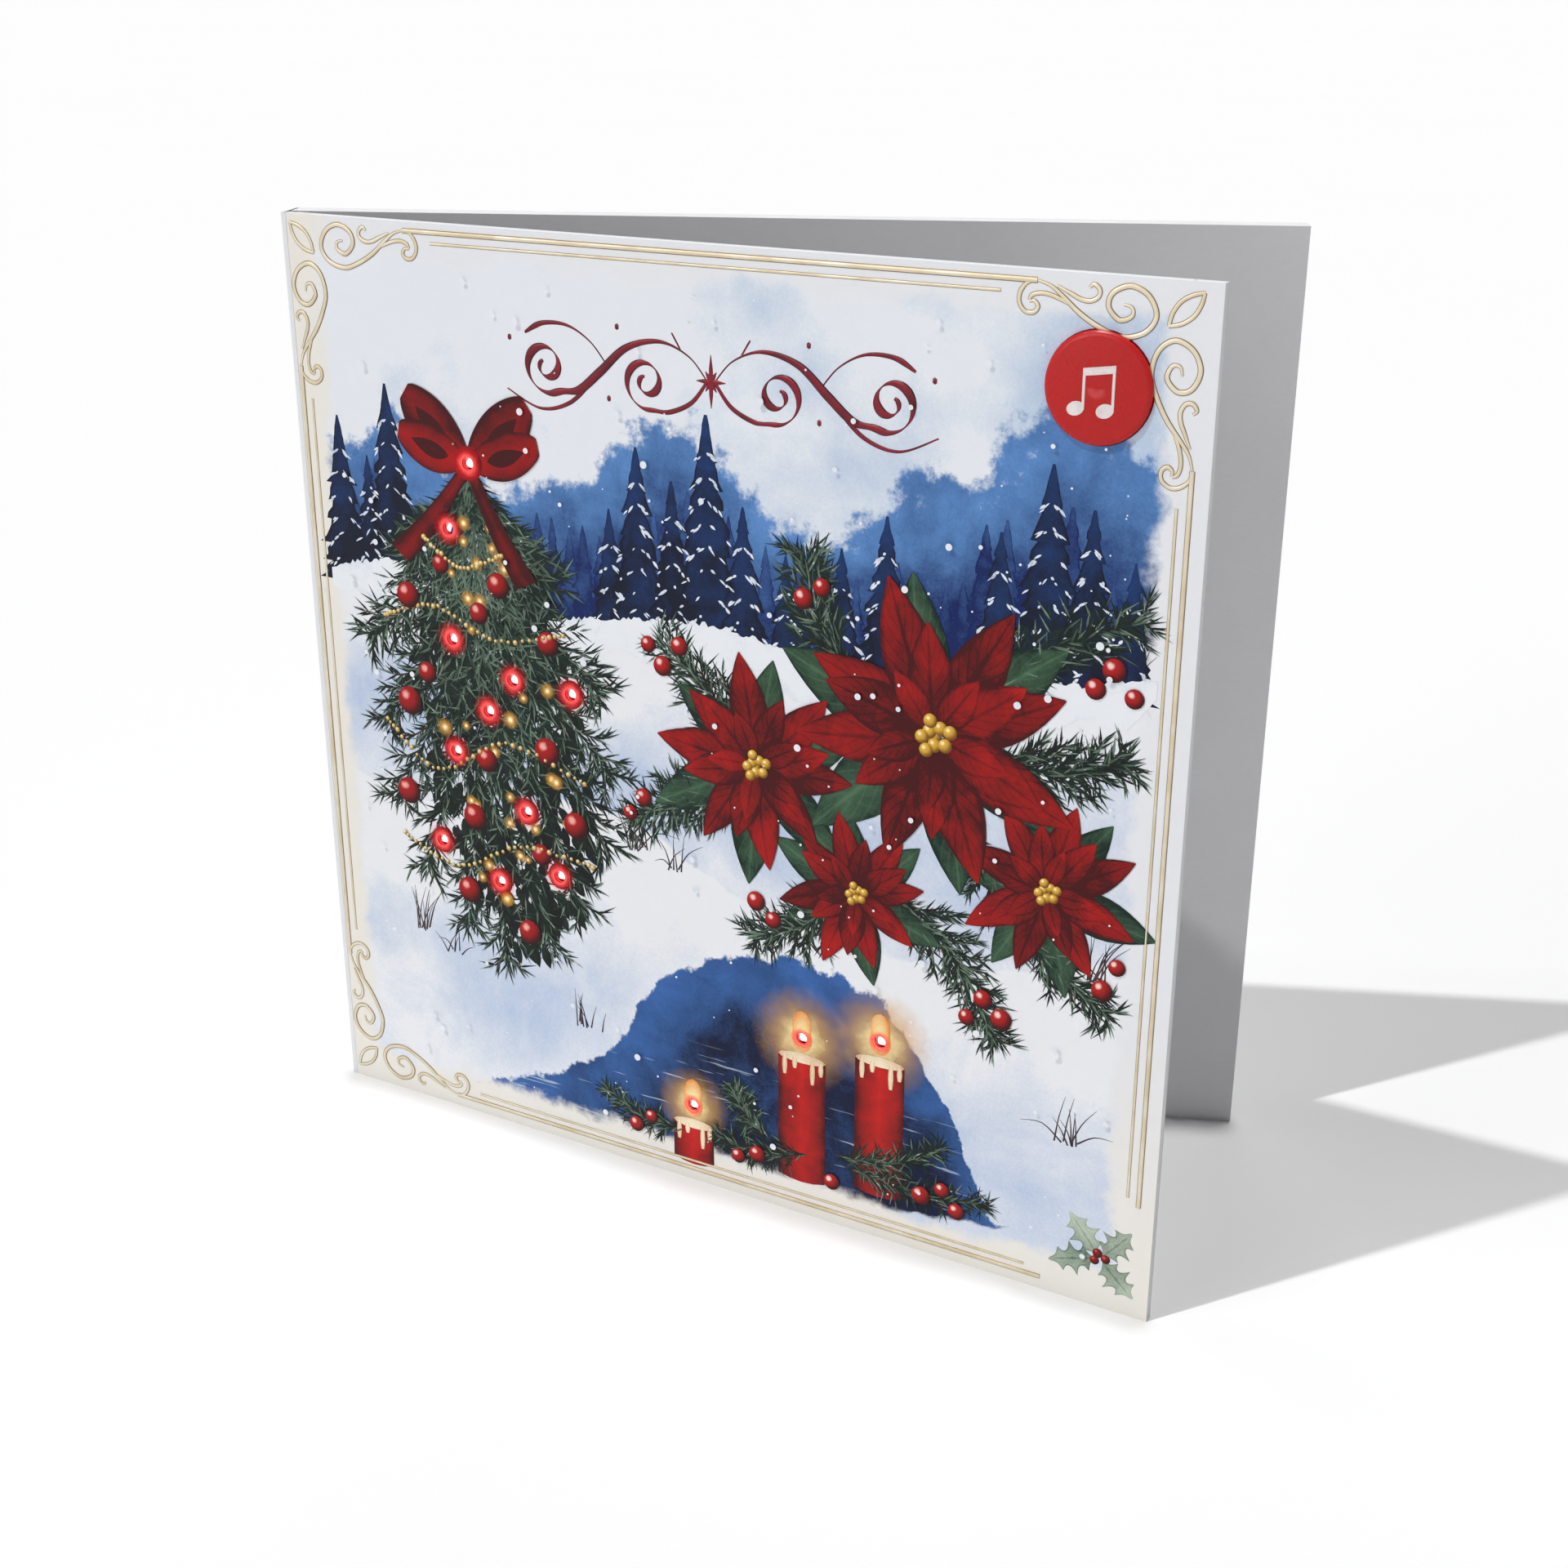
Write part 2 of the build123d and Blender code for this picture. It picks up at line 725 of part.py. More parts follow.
# Cells: a can with a smaller cap, every other one turned over
cell_seat = back_pocket_floor - tray_floor - contact_metal
first_cell = tray_along - cell_pitch * (cell_count - 1) / 2
with BuildPart() as cells:
    for index in range(cell_count):
        cell_section = section(back, first_cell + index * cell_pitch, tray_up, cell_seat)
        turned = -1 if index % 2 else 1
        middle = -cell_thickness / 2
        can_top = middle + turned * (cell_lip - cell_thickness / 2)
        cap_top = middle - turned * cell_thickness / 2
        can_base = middle + turned * cell_thickness / 2
        with BuildSketch(cell_section):
            with BuildLine():
                Polyline(
                    (0, can_base),
                    (cell_radius - cell_edge, can_base),
                    (cell_radius, can_base - turned * cell_edge),
                    (cell_radius, can_top + turned * cell_edge),
                    (cell_radius - cell_edge, can_top),
                    (cell_radius - cell_lip_inset, can_top),
                    (cell_radius - cell_lip_inset - cell_edge, cap_top),
                    (0, cap_top),
                    close=True,
                )
            make_face()
        revolve(axis=inward(cell_section))
finish(cells, "cells")

# Contact strips: under and over neighbouring cells, and a tab at each end
cell_top = cell_seat - cell_thickness
last_cell = first_cell + cell_pitch * (cell_count - 1)
end_strip = contact_width / 2 + cell_radius + cell_clear + tray_wall + contact_tab
with BuildPart() as cell_contacts:
    with BuildSketch(at_depth(back, back_pocket_floor - tray_floor)):
        with Locations((first_cell + cell_pitch / 2, tray_up)):
            Rectangle(cell_pitch + contact_width, contact_width)
        with Locations((last_cell - contact_width / 2, tray_up)):
            Rectangle(end_strip, contact_width, align=(Align.MIN, Align.CENTER))
    extrude(amount=contact_metal)
    with BuildSketch(at_depth(back, cell_top)):
        with Locations((last_cell - cell_pitch / 2, tray_up)):
            Rectangle(cell_pitch + contact_width, contact_width)
        with Locations((first_cell + contact_width / 2, tray_up)):
            Rectangle(end_strip, contact_width, align=(Align.MAX, Align.CENTER))
    extrude(amount=contact_metal)
finish(cell_contacts, "cell_contacts")

# Flat ribbon in the back leaf: from the board through the channel and up the spine
ribbon_rise = sheet + crease_clear + ribbon_thickness / 2
ribbon_level = board_top - ribbon_thickness / 2
with BuildPart() as back_ribbon:
    with BuildSketch(section(back, 0, ribbon_up - ribbon_width / 2, 0)):
        with BuildLine():
            FilletPolyline(
                (board_left + ribbon_lap, ribbon_level),
                (ribbon_rise, ribbon_level),
                (ribbon_rise, front_thickness + shut_gap),
                radius=crease_radius,
            )
        trace(line_width=ribbon_thickness)
    extrude(amount=ribbon_width)
finish(back_ribbon, "back_ribbon")

# Leads inside the module: battery tabs to board, and board to loudspeaker
board_bottom = board_up - board_height / 2
lead_level = board_top - lead_wire / 2
tab_reach = (tray_length + contact_tab) / 2
tab_levels = {-1: cell_top + lead_wire / 2, 1: cell_seat - lead_wire / 2}
with BuildPart() as battery_leads:
    for side, tab_level in tab_levels.items():
        tab = tray_along + side * tab_reach
        landing = board_along + side * (board_width / 2 - contact_width)
        turn_up = tray_up + tray_width / 2 + lead_wire
        add_wire(
            back,
            [
                (tab, tray_up - lead_wire, tab_level),
                (tab, turn_up, tab_level),
                (tab - side * lead_wire, (turn_up + board_bottom) / 2 + lead_wire, lead_level),
                (landing, board_bottom + contact_width, lead_level),
            ],
            lead_wire,
        )
finish(battery_leads, "battery_leads")

flank_radius = basket_radius - lead_wire
with BuildPart() as speaker_leads:
    for turn in (lead_turn - lead_spread, lead_turn + lead_spread):
        flank = (
            speaker_along + flank_radius * cos(radians(turn)),
            speaker_up + flank_radius * sin(radians(turn)),
        )
        row = board_up - (turn - lead_turn) * lead_row / lead_spread
        add_wire(
            back,
            [
                (board_right - contact_width / 2, row, lead_level),
                (board_right + contact_width / 2, row, lead_level),
                (*flank, lead_level),
            ],
            lead_wire,
        )
finish(speaker_leads, "speaker_leads")

print("fold at", round(fold_x, 3), round(fold_y, 3))
print("spine width", round(spine_width, 3), "button proud", round(button_proud, 3))
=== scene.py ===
import math
import random

import bmesh
import bpy
from mathutils import Matrix, Vector


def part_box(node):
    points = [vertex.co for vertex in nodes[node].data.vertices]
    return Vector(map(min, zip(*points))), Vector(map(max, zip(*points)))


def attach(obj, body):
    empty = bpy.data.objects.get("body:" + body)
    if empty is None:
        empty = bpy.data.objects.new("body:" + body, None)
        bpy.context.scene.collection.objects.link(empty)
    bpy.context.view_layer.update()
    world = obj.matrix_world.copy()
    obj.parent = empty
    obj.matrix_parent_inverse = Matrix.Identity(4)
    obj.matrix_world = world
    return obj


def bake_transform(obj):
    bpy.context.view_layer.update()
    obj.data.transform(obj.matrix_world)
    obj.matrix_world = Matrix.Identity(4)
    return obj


# Sound greeting card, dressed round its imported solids.
# Places on a leaf are in millimetres: along from the fold, up from the table, and
# rise over the picture or depth under it. Blender's own units are metres.

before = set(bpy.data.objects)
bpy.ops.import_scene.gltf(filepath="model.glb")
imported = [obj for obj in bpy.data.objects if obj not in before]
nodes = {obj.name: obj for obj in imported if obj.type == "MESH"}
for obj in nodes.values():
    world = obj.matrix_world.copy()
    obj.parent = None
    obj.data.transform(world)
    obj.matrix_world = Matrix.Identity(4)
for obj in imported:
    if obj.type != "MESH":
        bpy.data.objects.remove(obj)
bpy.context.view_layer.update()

MM = 0.001
OPEN_ANGLE = math.radians(22.5)
LEAF = 150.0

cover_low, cover_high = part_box("front_cover")
FOLD_X = cover_high.x - LEAF * MM
PICTURE_Y = cover_low.y


# Places on the two leaves


def on_front(along, up, depth=0.0):
    """A point of the front leaf in metres; a negative depth stands over the picture."""
    return Vector((FOLD_X + along * MM, PICTURE_Y + depth * MM, up * MM))


def on_back(along, up, depth=0.0):
    """A point of the back leaf in metres."""
    across, deep = along * MM, depth * MM
    return Vector((
        FOLD_X + across * math.cos(OPEN_ANGLE) - deep * math.sin(OPEN_ANGLE),
        PICTURE_Y + across * math.sin(OPEN_ANGLE) + deep * math.cos(OPEN_ANGLE),
        up * MM,
    ))


def turned(place, centre, angle):
    """A place turned about a centre, and moved to it."""
    cosine, sine = math.cos(angle), math.sin(angle)
    return (centre[0] + place[0] * cosine - place[1] * sine, centre[1] + place[0] * sine + place[1] * cosine)


def smooth_line(points, steps=8):
    """A smooth run of places through a few points, ends included."""
    run = []
    for i in range(len(points) - 1):
        four = points[max(i - 1, 0)], points[i], points[i + 1], points[min(i + 2, len(points) - 1)]
        for step in range(steps):
            t = step / steps
            run.append(tuple(
                0.5 * (2 * b + (c - a) * t + (2 * a - 5 * b + 4 * c - d) * t * t
                       + (3 * b - a - 3 * c + d) * t ** 3)
                for a, b, c, d in zip(*four)))
    return run + [tuple(points[-1])]


def link(name, data):
    """A new object in the scene."""
    made = bpy.data.objects.new(name, data)
    bpy.context.scene.collection.objects.link(made)
    return made


# Node helpers


class Value:
    """A node's output that takes part in sums like a number."""

    def __init__(self, socket):
        self.socket, self.tree = socket, socket.id_data

    def __add__(self, other):
        return reckon("ADD", self, other)

    def __sub__(self, other):
        return reckon("SUBTRACT", self, other)

    def __rsub__(self, other):
        return reckon("SUBTRACT", other, self)

    def __mul__(self, other):
        return reckon("MULTIPLY", self, other)

    def __truediv__(self, other):
        return reckon("DIVIDE", self, other)

    def __abs__(self):
        return reckon("ABSOLUTE", self)


def connect(socket, value):
    """Gives a socket another node's output, or a constant of its own."""
    if isinstance(value, Value):
        value.tree.links.new(value.socket, socket)
    else:
        socket.default_value = value


def add_node(tree, kind, inputs=None, **settings):
    """Adds a node; each input is given a constant or another node's output."""
    made = tree.nodes.new(kind)
    for name, value in settings.items():
        setattr(made, name, value)
    for name, value in (inputs or {}).items():
        connect(made.inputs[name], value)
    return made


def output(tree, kind, inputs=None, take=0, **settings):
    """One output of a new node."""
    return Value(add_node(tree, kind, inputs, **settings).outputs[take])


def reckon(operation, *values, clamp=False):
    """The result of one math node."""
    tree = next(value.tree for value in values if isinstance(value, Value))
    return output(tree, "ShaderNodeMath", dict(enumerate(values)), operation=operation, use_clamp=clamp)


def mix_colours(share, first, second):
    """The second colour laid over the first by a share."""
    return output(share.tree, "ShaderNodeMix", {0: share, 6: first, 7: second}, 2, data_type="RGBA")


def spread(value, low, high, to_low=0.0, to_high=1.0):
    """A value's range, stretched smoothly to another."""
    return output(value.tree, "ShaderNodeMapRange", {
        "Value": value, "From Min": low, "From Max": high, "To Min": to_low, "To Max": to_high},
        interpolation_type="SMOOTHSTEP")


def clouds(place, scale, detail=4.0, roughness=0.55, distortion=0.0):
    """Soft noise from 0 to 1."""
    return output(place.tree, "ShaderNodeTexNoise", {
        "Vector": place, "Scale": scale, "Detail": detail, "Roughness": roughness, "Distortion": distortion})


def split(vector):
    """The three numbers of a vector."""
    return [Value(part) for part in add_node(vector.tree, "ShaderNodeSeparateXYZ", {0: vector}).outputs]


def distance(vector, spot):
    """How far a vector is from a spot."""
    return output(vector.tree, "ShaderNodeVectorMath", {0: vector, 1: spot}, "Value", operation="DISTANCE")


def object_place(tree):
    """Where a point of the surface is, in metres."""
    return output(tree, "ShaderNodeTexCoord", take="Object")


def painted(tree, name="paint", take="Vector"):
    """Marks that a painted shape's points carry."""
    return output(tree, "ShaderNodeAttribute", take=take, attribute_name=name)


def srgb(red, green, blue):
    """A colour as it looks on a screen, from 0 to 255, as Blender's own numbers."""
    shares = [value / 255 for value in (red, green, blue)]
    return (*(s / 12.92 if s <= 0.04045 else ((s + 0.055) / 1.055) ** 2.4 for s in shares), 1.0)


def new_group(name, inputs, outputs):
    """An empty shader node group with its inputs as values, and its exit."""
    tree = bpy.data.node_groups.new(name, "ShaderNodeTree")
    for socket, kind, value in inputs:
        made = tree.interface.new_socket(socket, in_out="INPUT", socket_type="NodeSocket" + kind)
        if value is not None:
            made.default_value = value
    for socket, kind in outputs:
        tree.interface.new_socket(socket, in_out="OUTPUT", socket_type="NodeSocket" + kind)
    entry, end = tree.nodes.new("NodeGroupInput").outputs, tree.nodes.new("NodeGroupOutput").inputs
    return tree, {socket: Value(entry[socket]) for socket, _, _ in inputs}, end


def use_group(tree, group, inputs):
    """A node group's outputs by name."""
    made = add_node(tree, "ShaderNodeGroup", inputs, node_tree=group)
    return {socket.name: Value(socket) for socket in made.outputs}


def make_paper_fibre():
    """Fibres and mottling of card: a shade round 1 and a height."""
    tree, entry, end = new_group(
        "paper_fibre",
        [("Vector", "Vector", None), ("Fibre", "Float", 900.0), ("Mottle", "Float", 0.05)],
        [("Shade", "Float"), ("Height", "Float")],
    )
    stretched = output(tree, "ShaderNodeMapping", {"Vector": entry["Vector"], "Scale": (1, 1, 3.2)})
    fibre = clouds(stretched, entry["Fibre"], 5.0, 0.6)
    grain = fibre + clouds(entry["Vector"], 60.0, 3.0) - 1.0
    connect(end["Shade"], grain * entry["Mottle"] + 1.0)
    connect(end["Height"], fibre)
    return tree


def make_wash():
    """Watercolour pigment: it pools, grains and dries darker at its edge."""
    tree, entry, end = new_group(
        "watercolour_wash",
        [("Vector", "Vector", None), ("Pale", "Color", None), ("Deep", "Color", None),
         ("Load", "Float", 0.5), ("Rim", "Float", 0.0), ("Pool scale", "Float", 180.0)],
        [("Color", "Color"), ("Pigment", "Float")],
    )
    pool = clouds(entry["Vector"], entry["Pool scale"], 5.0, 0.6, 0.5)
    grain = clouds(entry["Vector"], 2600.0, 3.0)
    pigment = (pool - 0.5) * 1.3 + entry["Load"] + (grain - 0.5) * 0.35
    pigment = reckon("MULTIPLY_ADD", entry["Rim"], 0.55, pigment, clamp=True)
    connect(end["Color"], mix_colours(pigment, entry["Pale"], entry["Deep"]))
    connect(end["Pigment"], pigment)
    return tree


def make_surface_grain():
    """Faint unevenness of moulded, rolled or lacquered surfaces."""
    tree, entry, end = new_group(
        "surface_grain",
        [("Vector", "Vector", None), ("Scale", "Float", 1500.0), ("Stretch", "Vector", (1, 1, 1))],
        [("Mask", "Float"), ("Height", "Float")],
    )
    placed = output(tree, "ShaderNodeVectorMath", {0: entry["Vector"], 1: entry["Stretch"]},
                    operation="MULTIPLY")
    fine = clouds(placed, entry["Scale"], 4.0, 0.5)
    mask = (fine + clouds(entry["Vector"], 120.0, 2.0)) * 0.5
    connect(end["Mask"], spread(mask, 0.35, 0.65))
    connect(end["Height"], fine)
    return tree


PAPER_FIBRE = make_paper_fibre()
WASH = make_wash()
SURFACE_GRAIN = make_surface_grain()


# Materials


PAPER_SHINE = 0.2


def new_material(name, shine=0.5):
    """A material with an empty Principled surface."""
    material = bpy.data.materials.new(name)
    material.use_nodes = True
    tree = material.node_tree
    tree.nodes.clear()
    surface = add_node(tree, "ShaderNodeBsdfPrincipled", {"Specular IOR Level": shine})
    add_node(tree, "ShaderNodeOutputMaterial", {"Surface": Value(surface.outputs[0])})
    return material, tree, surface


def set_surface(surface, **inputs):
    """Gives a surface its values; Base_Color stands for the input Base Color."""
    for name, value in inputs.items():
        connect(surface.inputs[name.replace("_", " ")], value)


def add_bump(surface, height, strength, depth):
    """Bumps as deep as the height says, in metres at most."""
    bump = output(height.tree, "ShaderNodeBump", {"Height": height, "Strength": strength, "Distance": depth})
    set_surface(surface, Normal=bump)


def lay_on_card(surface, colour, fibre, mottle, smooth, rough, strength, depth):
    """A colour on the fibres of smooth card."""
    tree = surface.id_data
    grain = use_group(tree, PAPER_FIBRE, {"Vector": object_place(tree), "Fibre": fibre, "Mottle": mottle})
    shade = output(tree, "ShaderNodeHueSaturation", {"Color": colour, "Value": grain["Shade"]})
    set_surface(surface, Base_Color=shade, Roughness=spread(grain["Height"], 0.3, 0.7, smooth, rough))
    add_bump(surface, grain["Height"], strength, depth)


def card_stock(name, colour, fibre=900.0, mottle=0.05):
    """Smooth uncoated card."""
    material, _, surface = new_material(name, PAPER_SHINE)
    lay_on_card(surface, srgb(*colour), fibre, mottle, 0.66, 0.78, 0.25, 0.00004)
    return material


def solid_finish(name, pale, deep, rough, metal=0.0, scale=1500.0, stretch=1, shine=0.5, depth=0.00003):
    """Foam, plastic, lacquer or metal, told apart by its grain, which may be stretched level."""
    material, tree, surface = new_material(name, shine)
    grain = use_group(tree, SURFACE_GRAIN, {
        "Vector": object_place(tree), "Scale": scale, "Stretch": (1, 1, stretch)})
    set_surface(surface, Base_Color=mix_colours(grain["Mask"], srgb(*pale), srgb(*deep)), Metallic=metal,
                Roughness=spread(grain["Height"], 0.3, 0.7, rough * 0.8, rough * 1.2))
    add_bump(surface, grain["Height"], 0.3, depth)
    return material


def paint(name, pale, deep, load, rim=0.5, veins=0.0, frost=0.0, pool=180.0):
    """Dried watercolour; load is its depth at rest, lengthwise, across and by shape."""
    material, tree, surface = new_material(name, PAPER_SHINE)
    lengthwise, across, own = split(painted(tree))
    own = own + painted(tree, "each", "Fac")
    side = abs(across)
    depth = lengthwise * load[1] + load[0] + side * load[2] + own * load[3]
    if veins:
        ribs = reckon("PINGPONG", side * -2.6 + lengthwise * 8.0, 0.5)
        middle = spread(side, 0.0, 0.16, 1.0, 0.0)
        depth = reckon("MAXIMUM", spread(ribs, 0.0, 0.16, 1.0, 0.0) * 0.55, middle) * veins + depth
    wash = use_group(tree, WASH, {
        "Vector": object_place(tree), "Pale": srgb(*pale), "Deep": srgb(*deep), "Load": depth,
        "Rim": spread(side, 0.7, 1.0) * rim, "Pool scale": pool})
    colour = wash["Color"]
    if frost:
        laid = clouds(object_place(tree), 900.0, 3.0) + (lengthwise + own) * frost
        colour = mix_colours(spread(laid, 0.78, 0.9), colour, srgb(226, 234, 240))
    set_surface(surface, Base_Color=colour, Roughness=spread(wash["Pigment"], 0, 1, 0.63, 0.47))
    return material


def bauble_paint(name, pale, middle, deep):
    """A ball as a print shows it: its pale paint lies at the upper left."""
    material, tree, surface = new_material(name, PAPER_SHINE)
    grain = clouds(object_place(tree), 1100.0, 4.0)
    away = (grain - 0.5) * 0.35 + distance(painted(tree), (0.36, -0.34, 0.0))
    colour = mix_colours(spread(away, 0.45, 1.35), srgb(*middle), srgb(*deep))
    colour = mix_colours(spread(away, 0.42, 0.12), colour, srgb(*pale))
    set_surface(surface, Base_Color=colour, Roughness=spread(grain, 0.3, 0.7, 0.32, 0.5))
    return material


def glow_paint(name, inner, outer, strength, falloff, light):
    """A see-through glow that fades from a lamp hole outwards."""
    material, tree, surface = new_material(name, PAPER_SHINE)
    reach = split(painted(tree))[0]
    left = (clouds(object_place(tree), 500.0, 2.0) - 0.5) * 0.3 + (1.0 - reach)
    fade = reckon("POWER", reckon("MAXIMUM", left, 0.0), falloff) * spread(reach, 1.0, 0.8)
    colour = mix_colours(spread(left, 0.5, 1.0), srgb(*outer), srgb(*inner))
    set_surface(surface, Base_Color=colour, Emission_Color=colour, Emission_Strength=light, Roughness=0.6,
                Alpha=reckon("MULTIPLY", fade, strength, clamp=True))
    return material


def foil(name, pale, deep, side, rough, metal):
    """Embossed metal leaf, with painted shade down its sides, which also gives the line its dark edges."""
    material, tree, surface = new_material(name)
    grain = use_group(tree, SURFACE_GRAIN, {"Vector": object_place(tree), "Scale": 260.0})
    facing = split(output(tree, "ShaderNodeTexCoord", take="Normal"))[1]
    colour = mix_colours(grain["Mask"], srgb(*pale), srgb(*deep))
    # Painted shade: the side colour takes over where the raised line's surface turns away from the picture.
    colour = mix_colours(spread(abs(facing), 0.78, 0.99), srgb(*side), colour)
    set_surface(surface, Base_Color=colour, Metallic=metal,
                Roughness=spread(grain["Height"], 0.3, 0.7, rough - 0.06, rough + 0.06))
    return material


def lens_light():
    """A lit red lens with a white middle."""
    material, tree, surface = new_material("lens_light")
    facing = output(tree, "ShaderNodeLayerWeight", {"Blend": 0.35}, "Facing")
    edge = (clouds(object_place(tree), 2400.0, 2.0) - 0.5) * 0.2 + facing
    colour = mix_colours(spread(edge, 0.25, 0.8), (1.0, 0.9, 0.92, 1), (1.0, 0.05, 0.07, 1))
    set_surface(surface, Base_Color=colour, Emission_Color=colour, Emission_Strength=2.6, Roughness=0.2)
    return material


def dress(node, material):
    """Gives a CAD node its material."""
    mesh = nodes[node].data
    mesh.materials.clear()
    mesh.materials.append(material)


# Camera, lamps and floor


def add_camera():
    """Camera at the photograph's viewing angle."""
    azimuth, elevation, roll = (math.radians(v) for v in (29.55, 21.61, 0.04))
    forward = Vector((
        -math.sin(azimuth) * math.cos(elevation),
        math.cos(azimuth) * math.cos(elevation),
        -math.sin(elevation),
    ))
    level = Vector((math.cos(azimuth), math.sin(azimuth), 0))
    upright = level.cross(forward)
    right = level * math.cos(roll) + upright * math.sin(roll)
    up = upright * math.cos(roll) - level * math.sin(roll)
    data = bpy.data.cameras.new("card_camera")
    data.lens = 48.13
    data.clip_start, data.clip_end = 0.01, 100
    camera = link("card_camera", data)
    facing = Matrix((right, up, -forward)).transposed().to_4x4()
    camera.matrix_world = Matrix.Translation((0.15671, -0.28228, 0.18693)) @ facing
    bpy.context.scene.camera = camera


def add_sun(name, way, strength, softness):
    """Parallel light that throws the shadow of a 150 mm upright along way, in mm."""
    data = bpy.data.lights.new(name, "SUN")
    data.energy = strength
    data.angle = math.radians(softness)
    sun = link(name, data)
    falling = Vector((way[0], way[1], -LEAF)).normalized()
    sun.rotation_mode = "QUATERNION"
    sun.rotation_quaternion = falling.to_track_quat("-Z", "Y")
    sun.location = -falling * 2


def light_room(strength):
    """Even white room light, and a plain white backdrop where it is seen or mirrored."""
    world = bpy.data.worlds.new("white_room")
    bpy.context.scene.world = world
    world.use_nodes = True
    tree = world.node_tree
    tree.nodes.clear()
    rays = tree.nodes.new("ShaderNodeLightPath").outputs
    camera, glossy, through = (Value(rays[f"Is {kind} Ray"]) for kind in ("Camera", "Glossy", "Transmission"))
    seen = reckon("MAXIMUM", reckon("MAXIMUM", camera, glossy), through)
    power = output(tree, "ShaderNodeMapRange", {"Value": seen, "To Min": strength, "To Max": 1.0})
    sky = output(tree, "ShaderNodeBackground", {"Color": (1, 1, 1, 1), "Strength": power})
    add_node(tree, "ShaderNodeOutputWorld", {"Surface": sky})


def lay_floor():
    """A plain white table."""
    material, tree, surface = new_material("floor_paper", 0.0)
    colour = mix_colours(clouds(object_place(tree), 3.0, 2.0), (0.94, 0.94, 0.94, 1), (0.95, 0.95, 0.95, 1))
    set_surface(surface, Base_Color=colour, Roughness=0.9)
    mesh = bpy.data.meshes.new("floor")
    shape = bmesh.new()
    bmesh.ops.create_circle(shape, cap_ends=True, radius=60, segments=64)
    shape.to_mesh(mesh)
    shape.free()
    mesh.materials.append(material)
    floor = link("floor", mesh)


# Pieces of the scene: bridges over the fold, and painted films of the print


def face_outwards(mesh):
    """Turns the faces of a closed mesh outwards."""
    shape = bmesh.new()
    shape.from_mesh(mesh)
    bmesh.ops.recalc_face_normals(shape, faces=shape.faces)
    shape.to_mesh(mesh)
    shape.free()


def add_piece(name, mesh, slot="printed_card", body="front_leaf"):
    """Links a mesh as a piece that rides on a body."""
    face_outwards(mesh)
    made = link(name, mesh)
    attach(made, body)


def bridge(name, corners, low, high, thickness, material, end):
    """A strip with one section from low to high, laid round the fold."""
    line = [Vector(place) for place in smooth_line(corners, 5)]
    count, points = len(line), []
    for up in (low, high):
        for i, point in enumerate(line):
            way = (line[min(i + 1, count - 1)] - line[max(i - 1, 0)]).normalized()
            away = Vector((way.y, -way.x, 0)) * thickness / 2 * MM
            points += [(place.x, place.y, up * MM) for place in (point + away, point - away)]
    outline = [2 * i for i in range(count)] + [2 * i + 1 for i in reversed(range(count))]
    size = len(outline)
    faces = [(one, two, two + size, one + size) for one, two in zip(outline, outline[1:] + outline[:1])]
    faces += [(i, i + 1, i + 3, i + 2) for foot in (0, size) for i in range(foot, foot + size - 2, 2)]
    mesh = bpy.data.meshes.new(name)
    mesh.from_pydata(points, [], faces)
    mesh.materials.append(material)
    face_outwards(mesh)
    strip = link(name, mesh)
    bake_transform(strip)


FILM = 0.01


class Films:
    """Painted shapes: thin closed grids on the picture, each with its own place in the pile."""

    def __init__(self, lowest=0.01, step=0.0007):
        self.points, self.faces, self.values = [], [], []
        self.rise, self.step = lowest, step

    def add(self, rows, values, crown=None):
        """One shape from rows of (along, up) places; values are (lengthwise, across, own)."""
        self.rise += self.step
        start, tall, wide = len(self.points), len(rows), len(rows[0])
        size = tall * wide
        for depth in (0.0, FILM):
            for row, marks in zip(rows, values):
                for (along, up), mark in zip(row, marks):
                    rise = self.rise + (crown(along, up) if crown else 0.0)
                    self.points.append(on_front(along, up, depth - rise))
                    self.values.append(mark)
        for r in range(tall - 1):
            for c in range(wide - 1):
                first = start + r * wide + c
                quad = [first, first + 1, first + wide + 1, first + wide]
                self.faces += [quad, [corner + size for corner in reversed(quad)]]
        rim = list(range(wide)) + [r * wide + wide - 1 for r in range(1, tall)]
        rim += [size - wide + c for c in reversed(range(wide - 1))]
        rim += [r * wide for r in reversed(range(tall - 1))]
        for one, two in zip(rim, rim[1:]):
            self.faces.append([start + one, start + two, start + two + size, start + one + size])

    def piece(self, name, material, **place):
        """The films as one piece, on the print's body unless another is given; the slot is not used."""
        mesh = bpy.data.meshes.new(name)
        mesh.from_pydata(self.points, [], self.faces)
        marks = mesh.attributes.new("paint", "FLOAT_VECTOR", "POINT")
        marks.data.foreach_set("vector", [number for mark in self.values for number in mark])
        mesh.materials.append(material)
        add_piece(name, mesh, **place)


def grid(rows, columns, spot):
    """Places and marks of a shape; spot gives both by the shares of the way along and across."""
    made = [[spot(r / (rows - 1), c / (columns - 1)) for c in range(columns)] for r in range(rows)]
    return [[place for place, _ in row] for row in made], [[mark for _, mark in row] for row in made]


def blade(base, angle, length, width, form, own=0.0, bend=0.0, steps=9, columns=5):
    """A petal, leaf or flame: its half width follows form from base to tip."""
    def spot(t, s):
        across = (2 * s - 1) * width / 2 * max(form(t), 0.03)
        return turned((t * length, across + bend * length * t * t), base, angle), (t, 2 * s - 1, own)
    return grid(steps, columns, spot)


def disc(centre, radius, steps=9, columns=7):
    """A round spot; its marks are places in it from -1 to 1."""
    def spot(t, s):
        y = math.sin(math.pi / 2 * (2 * t - 1))
        x = (2 * s - 1) * max(math.sqrt(max(1 - y * y, 0)), 0.06)
        return (centre[0] + x * radius, centre[1] + y * radius), (y, x, 0.0)
    return grid(steps, columns, spot)


